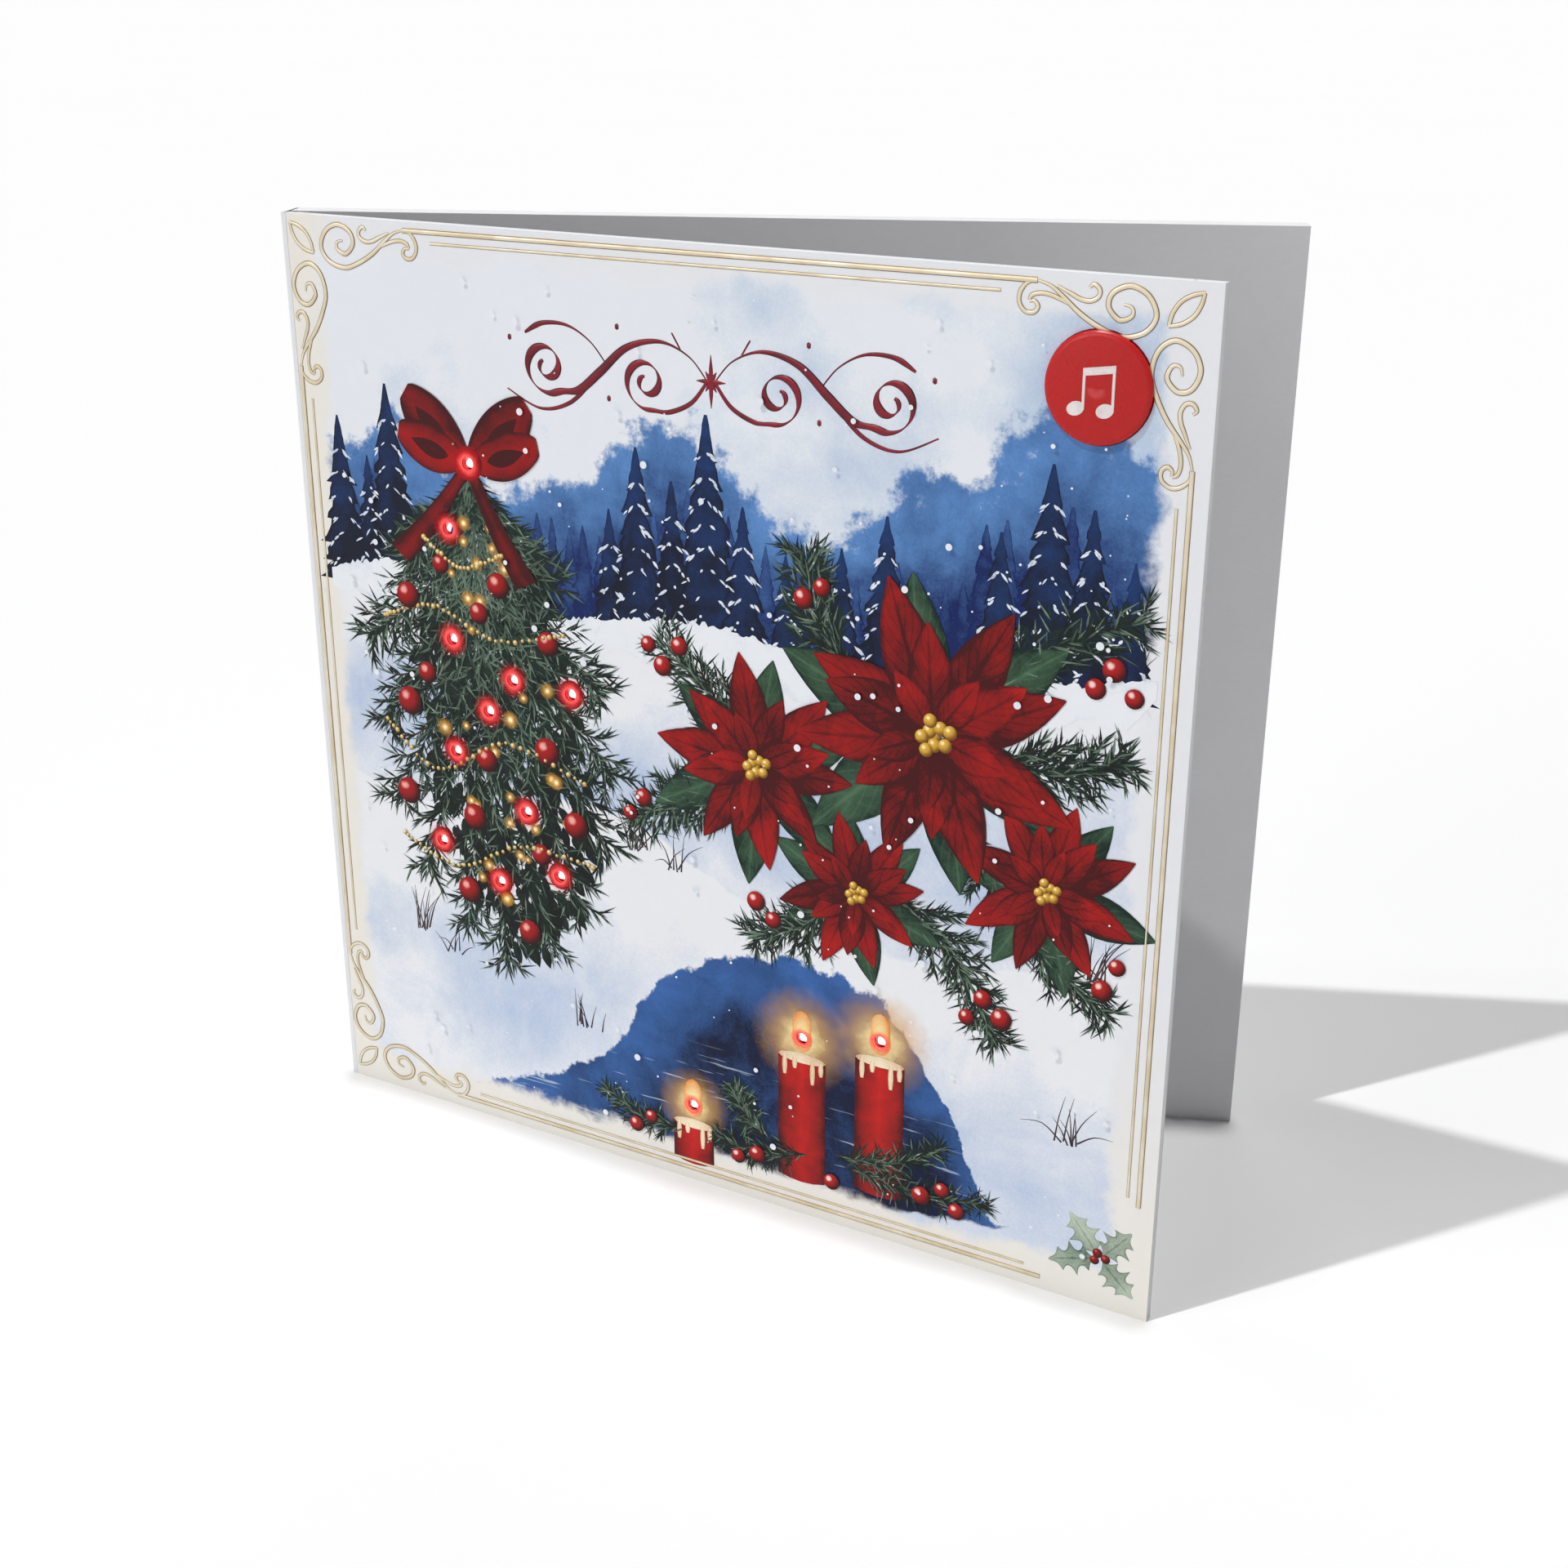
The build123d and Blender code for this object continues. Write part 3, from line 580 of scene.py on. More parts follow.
def ring(centre, inner, outer, own=0.0, rings=4, count=28):
    """A ring round a place, out to a radius that may change with the angle."""
    def spot(t, s):
        angle = 2 * math.pi * s
        reach = outer(angle) if callable(outer) else outer
        return turned((inner + (reach - inner) * t, 0), centre, angle), (t, 2 * s - 1, own)
    return grid(rings + 1, count + 1, spot)


def band(upper, lower):
    """A wash between two lines of places."""
    def spot(t, s):
        k = round(t * (len(upper) - 1))
        return tuple(a + (b - a) * s for a, b in zip(upper[k], lower[k])), (t, 2 * s - 1, 0.0)
    return grid(len(upper), 4, spot)


def add_discs(films, spots):
    """Round spots from (along, up, radius)."""
    for along, up, radius in spots:
        films.add(*disc((along, up), radius))


# Geometry Nodes trees for what repeats or follows a line


def new_tree(name, inputs):
    """An empty Geometry Nodes tree with its named inputs as values."""
    tree = bpy.data.node_groups.new(name, "GeometryNodeTree")
    tree.interface.new_socket("Geometry", in_out="OUTPUT", socket_type="NodeSocketGeometry")
    inputs = {"Geometry": "Geometry", **inputs, "Material": "Material"}
    for socket, kind in inputs.items():
        tree.interface.new_socket(socket, in_out="INPUT", socket_type="NodeSocket" + kind)
    entry = tree.nodes.new("NodeGroupInput").outputs
    return tree, {socket: Value(entry[socket]) for socket in inputs}


def end_tree(geometry, material):
    """Realizes the instances and sets the material, last of all."""
    tree = geometry.tree
    real = output(tree, "GeometryNodeRealizeInstances", {0: geometry})
    covered = output(tree, "GeometryNodeSetMaterial", {"Geometry": real, "Material": material})
    add_node(tree, "NodeGroupOutput", {0: covered})
    return tree


def combine(tree, *numbers):
    """A vector from three numbers."""
    return output(tree, "ShaderNodeCombineXYZ", dict(enumerate(numbers)))


def make_line_tree():
    """A raised, flattened line along each run of the host's edges."""
    tree, given = new_tree("raised_line", {"Line radius": "Float", "Flatness": "Float", "Face": "Float"})
    runs = output(tree, "GeometryNodeMeshToCurve", {0: given["Geometry"]})
    width = output(tree, "GeometryNodeInputNamedAttribute", {"Name": "width"}, "Attribute", data_type="FLOAT")
    profile = output(tree, "GeometryNodeCurvePrimitiveCircle", {
        "Resolution": 10, "Radius": given["Line radius"]})
    tube = output(tree, "GeometryNodeCurveToMesh", {
        "Curve": runs, "Profile Curve": profile, "Scale": width, "Fill Caps": True})
    laid = output(tree, "GeometryNodeTransform", {
        "Geometry": tube, "Translation": combine(tree, 0.0, given["Face"], 0.0),
        "Scale": combine(tree, 1.0, given["Flatness"], 1.0)})
    return end_tree(laid, given["Material"])


def add_random(tree, low, high, seed):
    """A random number for each point."""
    made = add_node(tree, "FunctionNodeRandomValue", {"Seed": seed}, data_type="FLOAT")
    for name, value in (("Min", low), ("Max", high)):
        connect(next(s for s in made.inputs if s.name == name and s.enabled), value)
    return Value(next(s for s in made.outputs if s.enabled))


def keep_clear(lamps, place, least):
    """True where a place is further than a distance from every lamp."""
    tree = place.tree
    points = output(tree, "GeometryNodeObjectInfo", {"Object": lamps}, "Geometry")
    near = output(tree, "GeometryNodeProximity", {"Geometry": points, "Source Position": place}, "Distance",
                  target_element="POINTS")
    return output(tree, "FunctionNodeCompare", {"A": near, "B": least}, data_type="FLOAT",
                  operation="GREATER_THAN")


def make_needle_tree():
    """Needles along each run of the host's edges, none of them over a lamp."""
    tree, given = new_tree("needles_on_twigs", {
        "Needle": "Object", "Lamps": "Object", "Spacing": "Float", "Needle length": "Float",
        "Spread": "Float", "Lift": "Float", "Seed": "Int"})
    seed = given["Seed"]
    runs = output(tree, "GeometryNodeMeshToCurve", {0: given["Geometry"]})
    spots = add_node(tree, "GeometryNodeCurveToPoints", {"Curve": runs, "Length": given["Spacing"]},
                     mode="LENGTH").outputs
    angle = add_random(tree, given["Spread"] * -1.0, given["Spread"], seed)
    lift = add_random(tree, given["Lift"] * -1.0, 0.0, seed + 1)
    long = add_random(tree, 0.65, 1.15, seed + 2)
    own = add_random(tree, 0.0, 1.0, seed + 3)
    along = output(tree, "FunctionNodeAlignRotationToVector", {"Vector": Value(spots["Tangent"])},
                   axis="X", pivot_axis="Y")
    swing = output(tree, "FunctionNodeAxisAngleToRotation", {"Axis": (0, 1, 0), "Angle": angle})
    way = output(tree, "FunctionNodeRotateRotation", {0: along, 1: swing}, rotation_space="LOCAL")
    length = given["Needle length"] * long
    reach = output(tree, "FunctionNodeRotateVector", {0: combine(tree, length), 1: way})
    root = output(tree, "GeometryNodeInputPosition")
    clear = keep_clear(given["Lamps"], root, 1.2 * MM)
    for share, least in ((0.35, 1.4), (0.7, 1.4), (1.0, 1.2)):
        part = output(tree, "ShaderNodeVectorMath", {0: reach, 3: share}, operation="SCALE")
        place = output(tree, "ShaderNodeVectorMath", {0: root, 1: part}, operation="ADD")
        free = keep_clear(given["Lamps"], place, least * MM)
        clear = output(tree, "FunctionNodeBooleanMath", {0: clear, 1: free}, operation="AND")
    raised = output(tree, "GeometryNodeSetPosition", {
        "Geometry": Value(spots["Points"]), "Offset": combine(tree, 0.0, lift)})
    shape = output(tree, "GeometryNodeObjectInfo", {"Object": given["Needle"]}, "Geometry")
    grown = output(tree, "GeometryNodeInstanceOnPoints", {
        "Points": raised, "Selection": clear, "Instance": shape, "Rotation": way,
        "Scale": combine(tree, length, 1.0, given["Needle length"])})
    marked = output(tree, "GeometryNodeStoreNamedAttribute", {
        "Geometry": grown, "Name": "each", "Value": own}, data_type="FLOAT", domain="INSTANCE")
    return end_tree(marked, given["Material"])


def make_scatter_tree():
    """Small shapes strewn over the host's faces, none of them over a lamp."""
    tree, given = new_tree("strewn_shapes", {
        "Shape": "Object", "Lamps": "Object", "Density": "Float", "Smallest": "Float", "Largest": "Float",
        "Seed": "Int"})
    spots = output(tree, "GeometryNodeDistributePointsOnFaces", {
        "Mesh": given["Geometry"], "Density": given["Density"], "Seed": given["Seed"]}, "Points")
    share = reckon("POWER", add_random(tree, 0.0, 1.0, given["Seed"] + 1), 2.5)
    size = share * (given["Largest"] - given["Smallest"]) + given["Smallest"]
    clear = keep_clear(given["Lamps"], output(tree, "GeometryNodeInputPosition"), 2.4 * MM)
    shape = output(tree, "GeometryNodeObjectInfo", {"Object": given["Shape"]}, "Geometry")
    strewn = output(tree, "GeometryNodeInstanceOnPoints", {
        "Points": spots, "Selection": clear, "Instance": shape, "Scale": combine(tree, size, 1.0, size)})
    return end_tree(strewn, given["Material"])


def grow(name, host_mesh, tree, values):
    """Runs a tree on a host mesh and keeps the result as a plain piece."""
    host = link(name + "_host", host_mesh)
    modifier = host.modifiers.new(tree.name, "NODES")
    modifier.node_group = tree
    sockets = {item.name: item.identifier for item in tree.interface.items_tree if item.in_out == "INPUT"}
    for key, value in values.items():
        modifier[sockets[key]] = value
    made = bpy.data.meshes.new_from_object(host.evaluated_get(bpy.context.evaluated_depsgraph_get()))
    made.name = name
    bpy.data.objects.remove(host)
    add_piece(name, made)


def line_mesh(name, runs, lift):
    """Edges along runs of (along, up) or (along, up, width) places on the picture."""
    points, edges, widths = [], [], []
    for run in runs:
        start = len(points)
        for along, up, *width in run:
            points.append(on_front(along, up, -lift))
            widths += width or [1.0]
        edges += [(start + i, start + i + 1) for i in range(len(run) - 1)]
    mesh = bpy.data.meshes.new(name + "_runs")
    mesh.from_pydata(points, edges, [])
    mesh.attributes.new("width", "FLOAT", "POINT").data.foreach_set("value", widths)
    return mesh


def draw_lines(name, runs, radius, flatness, face, material, lift=0.0):
    """Raised lines along runs, flattened by one share and moved by a share of the picture's place."""
    grow(name, line_mesh(name, runs, lift), LINE_TREE, {
        "Line radius": radius * MM, "Flatness": flatness, "Face": PICTURE_Y * face, "Material": material})


def helper(name, mesh):
    """An object that only the trees read."""
    made = link(name, mesh)
    made.hide_render = True
    return made


def thin_shape(name, outline, thickness, marks=None):
    """A flat closed shape with an outline of (x, z) places, a unit in size."""
    points = [(x, side * thickness / 2 * MM, z) for side in (-1, 1) for x, z in outline]
    count = len(outline)
    faces = [list(range(count)), [count + i for i in reversed(range(count))]]
    faces += [[i, i + count, (i + 1) % count + count, (i + 1) % count] for i in range(count)]
    mesh = bpy.data.meshes.new(name)
    mesh.from_pydata(points, [], faces)
    if marks:
        mesh.attributes.new("paint", "FLOAT_VECTOR", "POINT").data.foreach_set("vector", marks)
    return mesh


def needle_shape():
    """One needle, with marks along and across it."""
    outline = [(0.0, 0.0), (0.3, 0.055), (1.0, 0.0), (0.3, -0.055)]
    return thin_shape("needle_shape", outline, FILM, [v for x, z in outline * 2 for v in (x, z * 18, 0)])


def dot_shape():
    """One round dot of paint."""
    angles = [2 * math.pi * i / 10 for i in range(10)]
    return thin_shape("dot_shape", [(math.cos(angle), math.sin(angle)) for angle in angles], 2 * FILM)


# The print on the front cover


LAMPS = {
    "a": (33.5, 114.7), "b": (29.0, 104.0), "c": (28.5, 86.0), "d": (40.0, 81.0), "e": (51.0, 80.5),
    "f": (35.0, 75.0), "g": (28.0, 67.0), "h": (41.5, 59.0), "i": (24.0, 50.5), "j": (35.5, 45.5),
    "k": (47.5, 49.0), "l": (72.0, 14.0), "m": (92.0, 31.5), "n": (105.5, 34.5),
}
HOLE = 1.06
KNOT = LAMPS["a"]
CANDLE_LAMPS = "lmn"
FAR_RIDGE = [(0, 94), (20, 97), (45, 92), (75, 95), (105, 91), (130, 95), (150, 99)]
WOOD_TOPS = [(0, 108), (14, 121), (30, 112), (52, 117), (70, 126), (92, 113), (112, 123), (132, 131),
             (150, 116)]
NEAR_RIDGE = [(0, 62), (25, 57), (55, 63), (85, 52), (115, 50), (150, 60)]
HOLLOW_TOP = [(0, 0), (22, 4), (40, 11), (56, 20), (66, 35), (86, 44), (104, 42), (116, 28), (124, 12),
              (150, 0)]
HOLLOW_FOOT = [(0, 8), (26, 4.2), (52, 3.6), (80, 5.6), (98, 4.0), (116, 6.4), (130, 9), (150, 12)]
SWAG_LEFT = [(33, 46), (45, 29), (60, 22), (80, 19), (96, 23), (108, 29), (113, 32)]
SWAG_RIGHT = [(33, 34), (45, 51), (60, 55), (80, 53), (96, 46), (108, 38), (113, 35)]


def height_along(points, along):
    """Height of a painted line at a distance from the fold."""
    for (a, low), (b, high) in zip(points, points[1:]):
        if along <= b:
            t = (along - a) / (b - a)
            return low + (high - low) * t * t * (3 - 2 * t)
    return points[-1][1]


def in_swag(up, share):
    """The place at a height of the swag, by its share of the way across."""
    left, right = height_along(SWAG_LEFT, up), height_along(SWAG_RIGHT, up)
    return left + (right - left) * share, up


def painted_line(along, points):
    """A painted line's height as a shader value."""
    curve = add_node(along.tree, "ShaderNodeFloatCurve", {"Value": along / LEAF})
    line = curve.mapping.curves[0]
    places = [(a / LEAF, u / LEAF) for a, u in points]
    line.points[0].location, line.points[1].location = places[0], places[-1]
    for place in places[1:-1]:
        line.points.new(*place)
    curve.mapping.update()
    return Value(curve.outputs[0]) * LEAF


def picture_paint():
    """Winter sky, woods, snow and dusk as washes on the card, inside the gold border, and a painted red glow
    round each lamp hole.
    """
    material, tree, surface = new_material("winter_print", PAPER_SHINE)
    place = object_place(tree)
    x, _, z = split(place)
    along, up = (x - FOLD_X) / MM, z / MM
    ragged = clouds(place, 160.0, 6.0, 0.65) - 0.5
    soft = clouds(place, 34.0, 4.0) - 0.5

    def wash(pale, deep, load, pool):
        made = use_group(tree, WASH, {
            "Vector": place, "Pale": srgb(*pale), "Deep": srgb(*deep), "Load": load, "Pool scale": pool})
        return made["Color"]

    cream = reckon("MAXIMUM", spread(up, 0, 60, 0.75, 0.0), spread(along, 3, 13, 0.9, 0.0))
    cream = reckon("MULTIPLY_ADD", soft, 0.5, cream, clamp=True)
    paper = mix_colours(cream, srgb(235, 236, 240), srgb(240, 235, 224))
    colour = wash((234, 238, 244), (150, 182, 218), soft * 2.6 + spread(along, 40, 140, -0.12, 0.34), 30.0)

    under = painted_line(along, WOOD_TOPS) - up + soft * 26.0 + ragged * 22.0
    woods = wash((92, 140, 200), (8, 30, 92), spread(under, 0, 24, 0.12, 0.95), 90.0)
    colour = mix_colours(spread(under, 0.0, 3.5), colour, woods)

    for points, wobble, depth, deepest in ((FAR_RIDGE, 3.0, 26, 0.5), (NEAR_RIDGE, 3.5, 30, 0.3)):
        below = painted_line(along, points) - up + ragged * wobble
        load = soft * 1.5 + spread(below, 2, depth, -0.35, deepest)
        load = load * spread(below, depth * 1.8, depth, 0.35, 1.0)
        snow = wash((238, 240, 244), (142, 174, 218), load, 45.0)
        colour = mix_colours(spread(below, 0.0, 0.7), colour, snow)

    over = painted_line(along, HOLLOW_TOP) - up + ragged * 9.0
    foot = up - painted_line(along, HOLLOW_FOOT) + ragged * -5.0
    dusk = wash((58, 104, 172), (5, 16, 50), soft * 1.6 + spread(over, 0, 22, 0.25, 0.8), 110.0)
    drawn = output(tree, "ShaderNodeMapping", {"Vector": place, "Scale": (0.5, 1, 9)})
    sparkle = spread(clouds(drawn, 150.0, 3.0), 0.62, 0.68) * spread(up, 27, 21, 0.0, 0.6)
    dusk = mix_colours(sparkle, dusk, srgb(200, 216, 236))
    colour = mix_colours(spread(reckon("MINIMUM", over, foot), 0.0, 0.9), colour, dusk)

    inner = along - 4.6
    for side in (144.4 - along, up - 5.2, 146.2 - up):
        inner = reckon("MINIMUM", inner, side)
    inner = inner + soft * 6.0 + ragged * 7.0
    colour = mix_colours(spread(inner, 0.0, 2.6), paper, colour)

    # Painted light: a red glow round each lamp hole, in colour and in emission, for the lamp's light on the
    # hole's rim.
    spot, nearest = combine(tree, along, up), LEAF
    for lamp in LAMPS.values():
        nearest = reckon("MINIMUM", distance(spot, (*lamp, 0)), nearest)
    rim = spread(nearest, HOLE + 0.12, HOLE - 0.02)
    colour = mix_colours(rim, colour, srgb(224, 20, 30))
    set_surface(surface, Emission_Color=srgb(255, 40, 50), Emission_Strength=rim * 0.6)
    lay_on_card(surface, colour, 1100.0, 0.035, 0.48, 0.6, 0.2, 0.00003)
    return material


def clear_of_lamps(place, least):
    """Whether a place is further than a distance from every lamp."""
    return all(math.dist(place, lamp) > least for lamp in LAMPS.values())


def pointed(t):
    """Half width of a petal or leaf from its foot to its tip."""
    return math.sin(math.pi * min(t ** 0.85, 1.0)) ** 0.85


def tiers_of(height):
    """How many tiers of boughs a fir has."""
    return max(int(height / 3.2), 5)


def fir(centre, foot, height, width, own, chance):
    """A ragged fir, from its tip down to the snow."""
    steps, tiers = 36, tiers_of(height)
    ragged = [chance.uniform(0.82, 1.15) for _ in range(steps)]

    def spot(t, s):
        tier, side = (t * tiers) % 1.0, 2 * s - 1
        half = width / 2 * (0.05 + 0.95 * t ** 0.85) * (0.58 + 0.42 * tier) * ragged[round(t * (steps - 1))]
        up = foot + height * (1 - t) - abs(side) * height * 0.036 * tier
        return (centre + side * half, up), (t, side, own)
    return grid(steps, 5, spot)


NEAR_FIRS = [(8, 27), (13.5, 20), (18, 31), (59, 20), (64, 29), (70, 24), (76, 34), (82, 22), (89, 17),
             (98, 21), (105, 27), (122, 24), (129, 33), (135, 27), (141, 19)]


def paint_woods():
    """Two depths of firs behind the snow, and the snow that lies on the nearer ones."""
    chance = random.Random(11)
    far, near, caps = Films(0.01, 0.0002), Films(0.02, 0.0004), Films(0.03, 0.00001)
    for i in range(45):
        along = 5 + 3.1 * i + chance.uniform(-0.8, 0.8)
        foot = height_along(FAR_RIDGE, along) - 1.5
        height = (height_along(WOOD_TOPS, along) - foot) * chance.uniform(0.42, 0.78)
        if 6 < along < 143:
            far.add(*fir(along, foot, height, height * 0.42, chance.random(), chance))
    for along, height in NEAR_FIRS:
        foot = height_along(FAR_RIDGE, along) - 2.5
        width = height * 0.46
        near.add(*fir(along, foot, height, width, chance.random(), chance))
        tiers = tiers_of(height)
        for tier in range(1, tiers):
            t = (tier + 0.8) / tiers
            half = width / 2 * t ** 0.85
            for _ in range(7):
                share, side = chance.uniform(0.05, 0.78), chance.choice((-1, 1))
                up = foot + height * (1 - t) + 0.8 - half * share * 0.7 + chance.uniform(-0.3, 0.3)
                slope = 0.6 + chance.uniform(-0.25, 0.25)
                caps.add(*blade((along + side * half * share, up), -slope if side > 0 else math.pi + slope,
                                chance.uniform(0.5, 1.7), chance.uniform(0.22, 0.5), pointed, chance.random(),
                                side * -0.12, steps=5, columns=4))
    far.piece("far_firs", paint("far_fir_wash", (76, 118, 182), (8, 30, 88), (0.5, 0.35, 0.1, 0.25)))
    near.piece("near_firs", paint("near_fir_wash", (30, 66, 128), (3, 10, 34), (0.45, 0.4, 0.1, 0.2)))
    snow = paint("snow_wash", (238, 241, 246), (160, 188, 222), (0.0, 0.1, 0.1, 0.25))
    caps.piece("fir_snow", snow)

    bank = Films(0.036)
    for first, last in ((4.5, 29), (47, 145)):
        upper, lower = [], []
        count = int((last - first) * 2)
        for i in range(count + 1):
            along = first + (last - first) * i / count
            ridge = height_along(FAR_RIDGE, along)
            ends = min(i, count - i, 8) / 8
            upper.append((along, ridge + (0.5 + chance.uniform(-0.35, 0.55)) * ends))
            thick = 5.4 + 1.2 * math.sin(along * 0.5) + chance.uniform(-0.2, 0.2)
            lower.append((along, ridge - thick * (0.5 + 0.5 * ends)))
        bank.add(*band(upper, lower))
    wash = paint("bank_wash", (238, 241, 246), (176, 198, 226), (-0.12, 0.0, 0.12, 0.0), rim=0.1)
    bank.piece("snow_bank", wash)
    return snow


def spray(root, tip, sag, twig, chance):
    """A fir spray: a bowed stem and its side twigs, as runs of places."""
    span = (tip[0] - root[0], tip[1] - root[1])
    middle = (root[0] + span[0] * 0.5 - span[1] * sag, root[1] + span[1] * 0.5 + span[0] * sag)
    stem = smooth_line([root, middle, tip], 7)
    runs = [stem]
    for i in range(2, len(stem) - 1):
        way = math.atan2(stem[i + 1][1] - stem[i][1], stem[i + 1][0] - stem[i][0])
        for side in (-1, 1):
            reach = twig * (1.15 - 0.75 * i / len(stem)) * chance.uniform(0.75, 1.15)
            angle = way + side * chance.uniform(0.5, 0.75)
            base = (stem[i][0] + chance.uniform(-0.4, 0.4), stem[i][1] + chance.uniform(-0.4, 0.4))
            kink = turned((reach * 0.55, side * -0.5), base, angle)
            runs.append(smooth_line([base, kink, turned((reach, 0), base, angle)], 3))
    return runs


def flower(bloom, leaves, centre, radius, turn, chance):
    """A poinsettia: green leaves, three rounds of red petals."""
    for count, size, wide, group, start in ((6, 1.16, 0.36, leaves, 0.4), (8, 1.0, 0.34, bloom, 0.0),
                                            (6, 0.76, 0.4, bloom, 0.3), (5, 0.5, 0.44, bloom, 0.7)):
        order = list(range(count))
        chance.shuffle(order)
        for k in order:
            angle = turn + start + 2 * math.pi * k / count + chance.uniform(-0.12, 0.12)
            length = radius * size * chance.uniform(0.9, 1.08)
            root = turned((radius * 0.05, 0), centre, angle)
            group.add(*blade(root, angle, length, length * wide * 1.15, pointed, chance.random(),
                             chance.uniform(-0.1, 0.1), steps=11, columns=7))


def swag_shade(chance):
    """Dark strokes that fill the swag between and behind its needles."""
    shade = Films(0.022, 0.00004)
    for _ in range(900):
        up = chance.uniform(35, 112)
        spot = in_swag(up, chance.uniform(0.04, 0.96))
        angle = -math.pi / 2 + (spot[0] - KNOT[0]) * 0.035 + chance.uniform(-0.35, 0.35)
        length = chance.uniform(2.4, 4.4)
        rows, marks = blade(spot, angle, length, 1.7, pointed, chance.random(), steps=5, columns=3)
        if clear_of_lamps(spot, 2.2) and all(clear_of_lamps(place, 1.25) for row in rows for place in row):
            shade.add(rows, marks)
    for key, lamp in LAMPS.items():
        if key not in CANDLE_LAMPS:
            shade.add(*ring(lamp, HOLE, 2.3, own=chance.random(), rings=2, count=20))
    wash = paint("shade_wash", (46, 70, 56), (5, 10, 10), (0.85, 0.0, 0.0, 0.3), rim=0.0, pool=90.0)
    shade.piece("swag_shade", wash)


SWAG_TIPS = [
    ((12, 84), 0.12), ((14, 70), 0.1), ((15, 56), 0.08), ((20, 44), 0.05), ((28, 35), 0.03), ((36, 30), 0.0),
    ((45, 35), -0.03), ((52, 43), -0.05), ((57, 55), -0.07), ((58, 68), -0.1), ((56, 82), -0.12),
    ((21, 98), 0.1), ((47, 97), -0.1)]
FLOWER_SPRAYS = [
    ((118, 88), (142, 106), 0.1), ((120, 84), (141, 86), -0.1), ((118, 74), (141, 48), -0.1),
    ((90, 80), (68, 92), 0.1), ((84, 68), (62, 62), -0.1), ((100, 60), (84, 47), 0.12),
    ((106, 60), (124, 40), 0.1), ((100, 92), (92, 108), 0.1)]
CANDLE_SPRAYS = [
    ((93, 11), (76, 9.5), 0.08), ((100, 11), (124, 11.5), -0.05), ((98, 12.5), (116, 19), -0.1),
    ((70, 9), (55, 12), 0.1), ((86, 12), (80, 19), 0.1)]
LONG_NEEDLE = 3.4


def paint_greens(chance):
    """The hanging fir swag round the lamps, and sprays behind the flowers and candles."""
    dark = paint("deep_needle_wash", (36, 60, 48), (5, 9, 9), (1.0, -0.25, 0.0, -0.4), rim=0.1, pool=120.0)
    light = paint("needle_wash", (124, 146, 126), (12, 36, 28), (1.15, -0.45, 0.0, -0.7), rim=0.1, frost=0.14,
                  pool=120.0)
    swag_shade(chance)
    swag, corner, low = [], [], []
    for tip, sag in SWAG_TIPS:
        swag += spray((KNOT[0] + chance.uniform(-0.6, 0.6), 114), tip, sag, 10.0, chance)
    for runs, sprays, twig in ((corner, FLOWER_SPRAYS, 7.0), (low, CANDLE_SPRAYS, 3.4)):
        for root, tip, sag in sprays:
            runs += spray(root, tip, sag, twig, chance)
    bark = paint("bark_wash", (96, 70, 52), (30, 18, 14), (0.5, 0.0, 0.0, 0.2))
    for name, runs, length, seed in (("swag", swag, LONG_NEEDLE, 21), ("flower_sprays", corner, 3.0, 41),
                                     ("candle_sprays", low, 2.3, 61)):
        for coat, lift, spacing, turn, material in (("dark", 0.028, 0.34, 0, dark),
                                                    ("light", 0.06, 1.7, 7, light)):
            grow(f"{name}_{coat}_needles", line_mesh(name, runs, lift), NEEDLE_TREE, {
                "Needle": NEEDLE, "Lamps": LAMP_POINTS, "Spacing": spacing * MM * length / LONG_NEEDLE,
                "Needle length": length * MM, "Spread": 0.95, "Lift": 0.025 * MM, "Seed": seed + turn,
                "Material": material})
        clear = [run for run in runs if all(clear_of_lamps(place[:2], 1.6) for place in run)]
        draw_lines(name + "_twigs", clear, 0.16, 0.1, 0.9, bark, lift=0.045)


BERRIES = [
    (139, 99, 1.7), (142, 95.5, 1.4), (136.5, 96, 1.5), (68, 88, 1.6), (65.5, 91, 1.3), (71, 91.5, 1.5),
    (64, 66, 1.5), (61.5, 63, 1.3), (140, 52, 1.6), (142, 56, 1.3), (122, 46, 1.5), (125, 43.5, 1.7),
    (119.5, 42.5, 1.3), (87, 50.5, 1.4), (84, 53, 1.6), (95, 104, 1.4), (92, 102, 1.6), (84, 8.5, 1.5),
    (80.5, 7.2, 1.3), (97.5, 7.6, 1.4), (113, 10, 1.6), (116.5, 12, 1.3), (119, 9, 1.4), (61, 7.4, 1.4),
    (64, 9.6, 1.2)]


POINSETTIAS = [(131, 65, 13, 0.5), (101, 58, 12, 0.2), (84, 75, 15.5, 0.0), (113, 85, 21, 0.3)]


def paint_flowers(chance):
    """The poinsettias with their leaves and gold middles, and loose berries."""
    leaves, bloom, middles, berries = Films(0.07), Films(0.11), Films(0.18), Films(0.18)
    for *centre, radius, turn in POINSETTIAS:
        flower(bloom, leaves, centre, radius, turn, chance)
        for k in range(9):
            spot = turned((radius * 0.045 * math.sqrt(k), 0), centre, k * 2.4)
            middles.add(*disc(spot, radius * 0.042 + 0.2, steps=7, columns=5))
    add_discs(berries, BERRIES)
    leaves.piece("poinsettia_leaves", paint("leaf_wash", (78, 112, 84), (10, 34, 26), (0.62, -0.25, 0.2, 0.3),
                                            veins=-0.35, pool=220.0))
    bloom.piece("poinsettia_petals", paint("petal_wash", (192, 26, 24), (66, 3, 8), (0.74, -0.55, 0.12, 0.4),
                                           veins=0.32, rim=0.6, pool=200.0))
    pollen = bauble_paint("pollen_paint", (255, 238, 170), (222, 172, 60), (120, 76, 20))
    middles.piece("poinsettia_middles", pollen)
    berries.piece("painted_berries", bauble_paint("berry_paint", (255, 214, 206), (178, 24, 24), (64, 4, 8)))


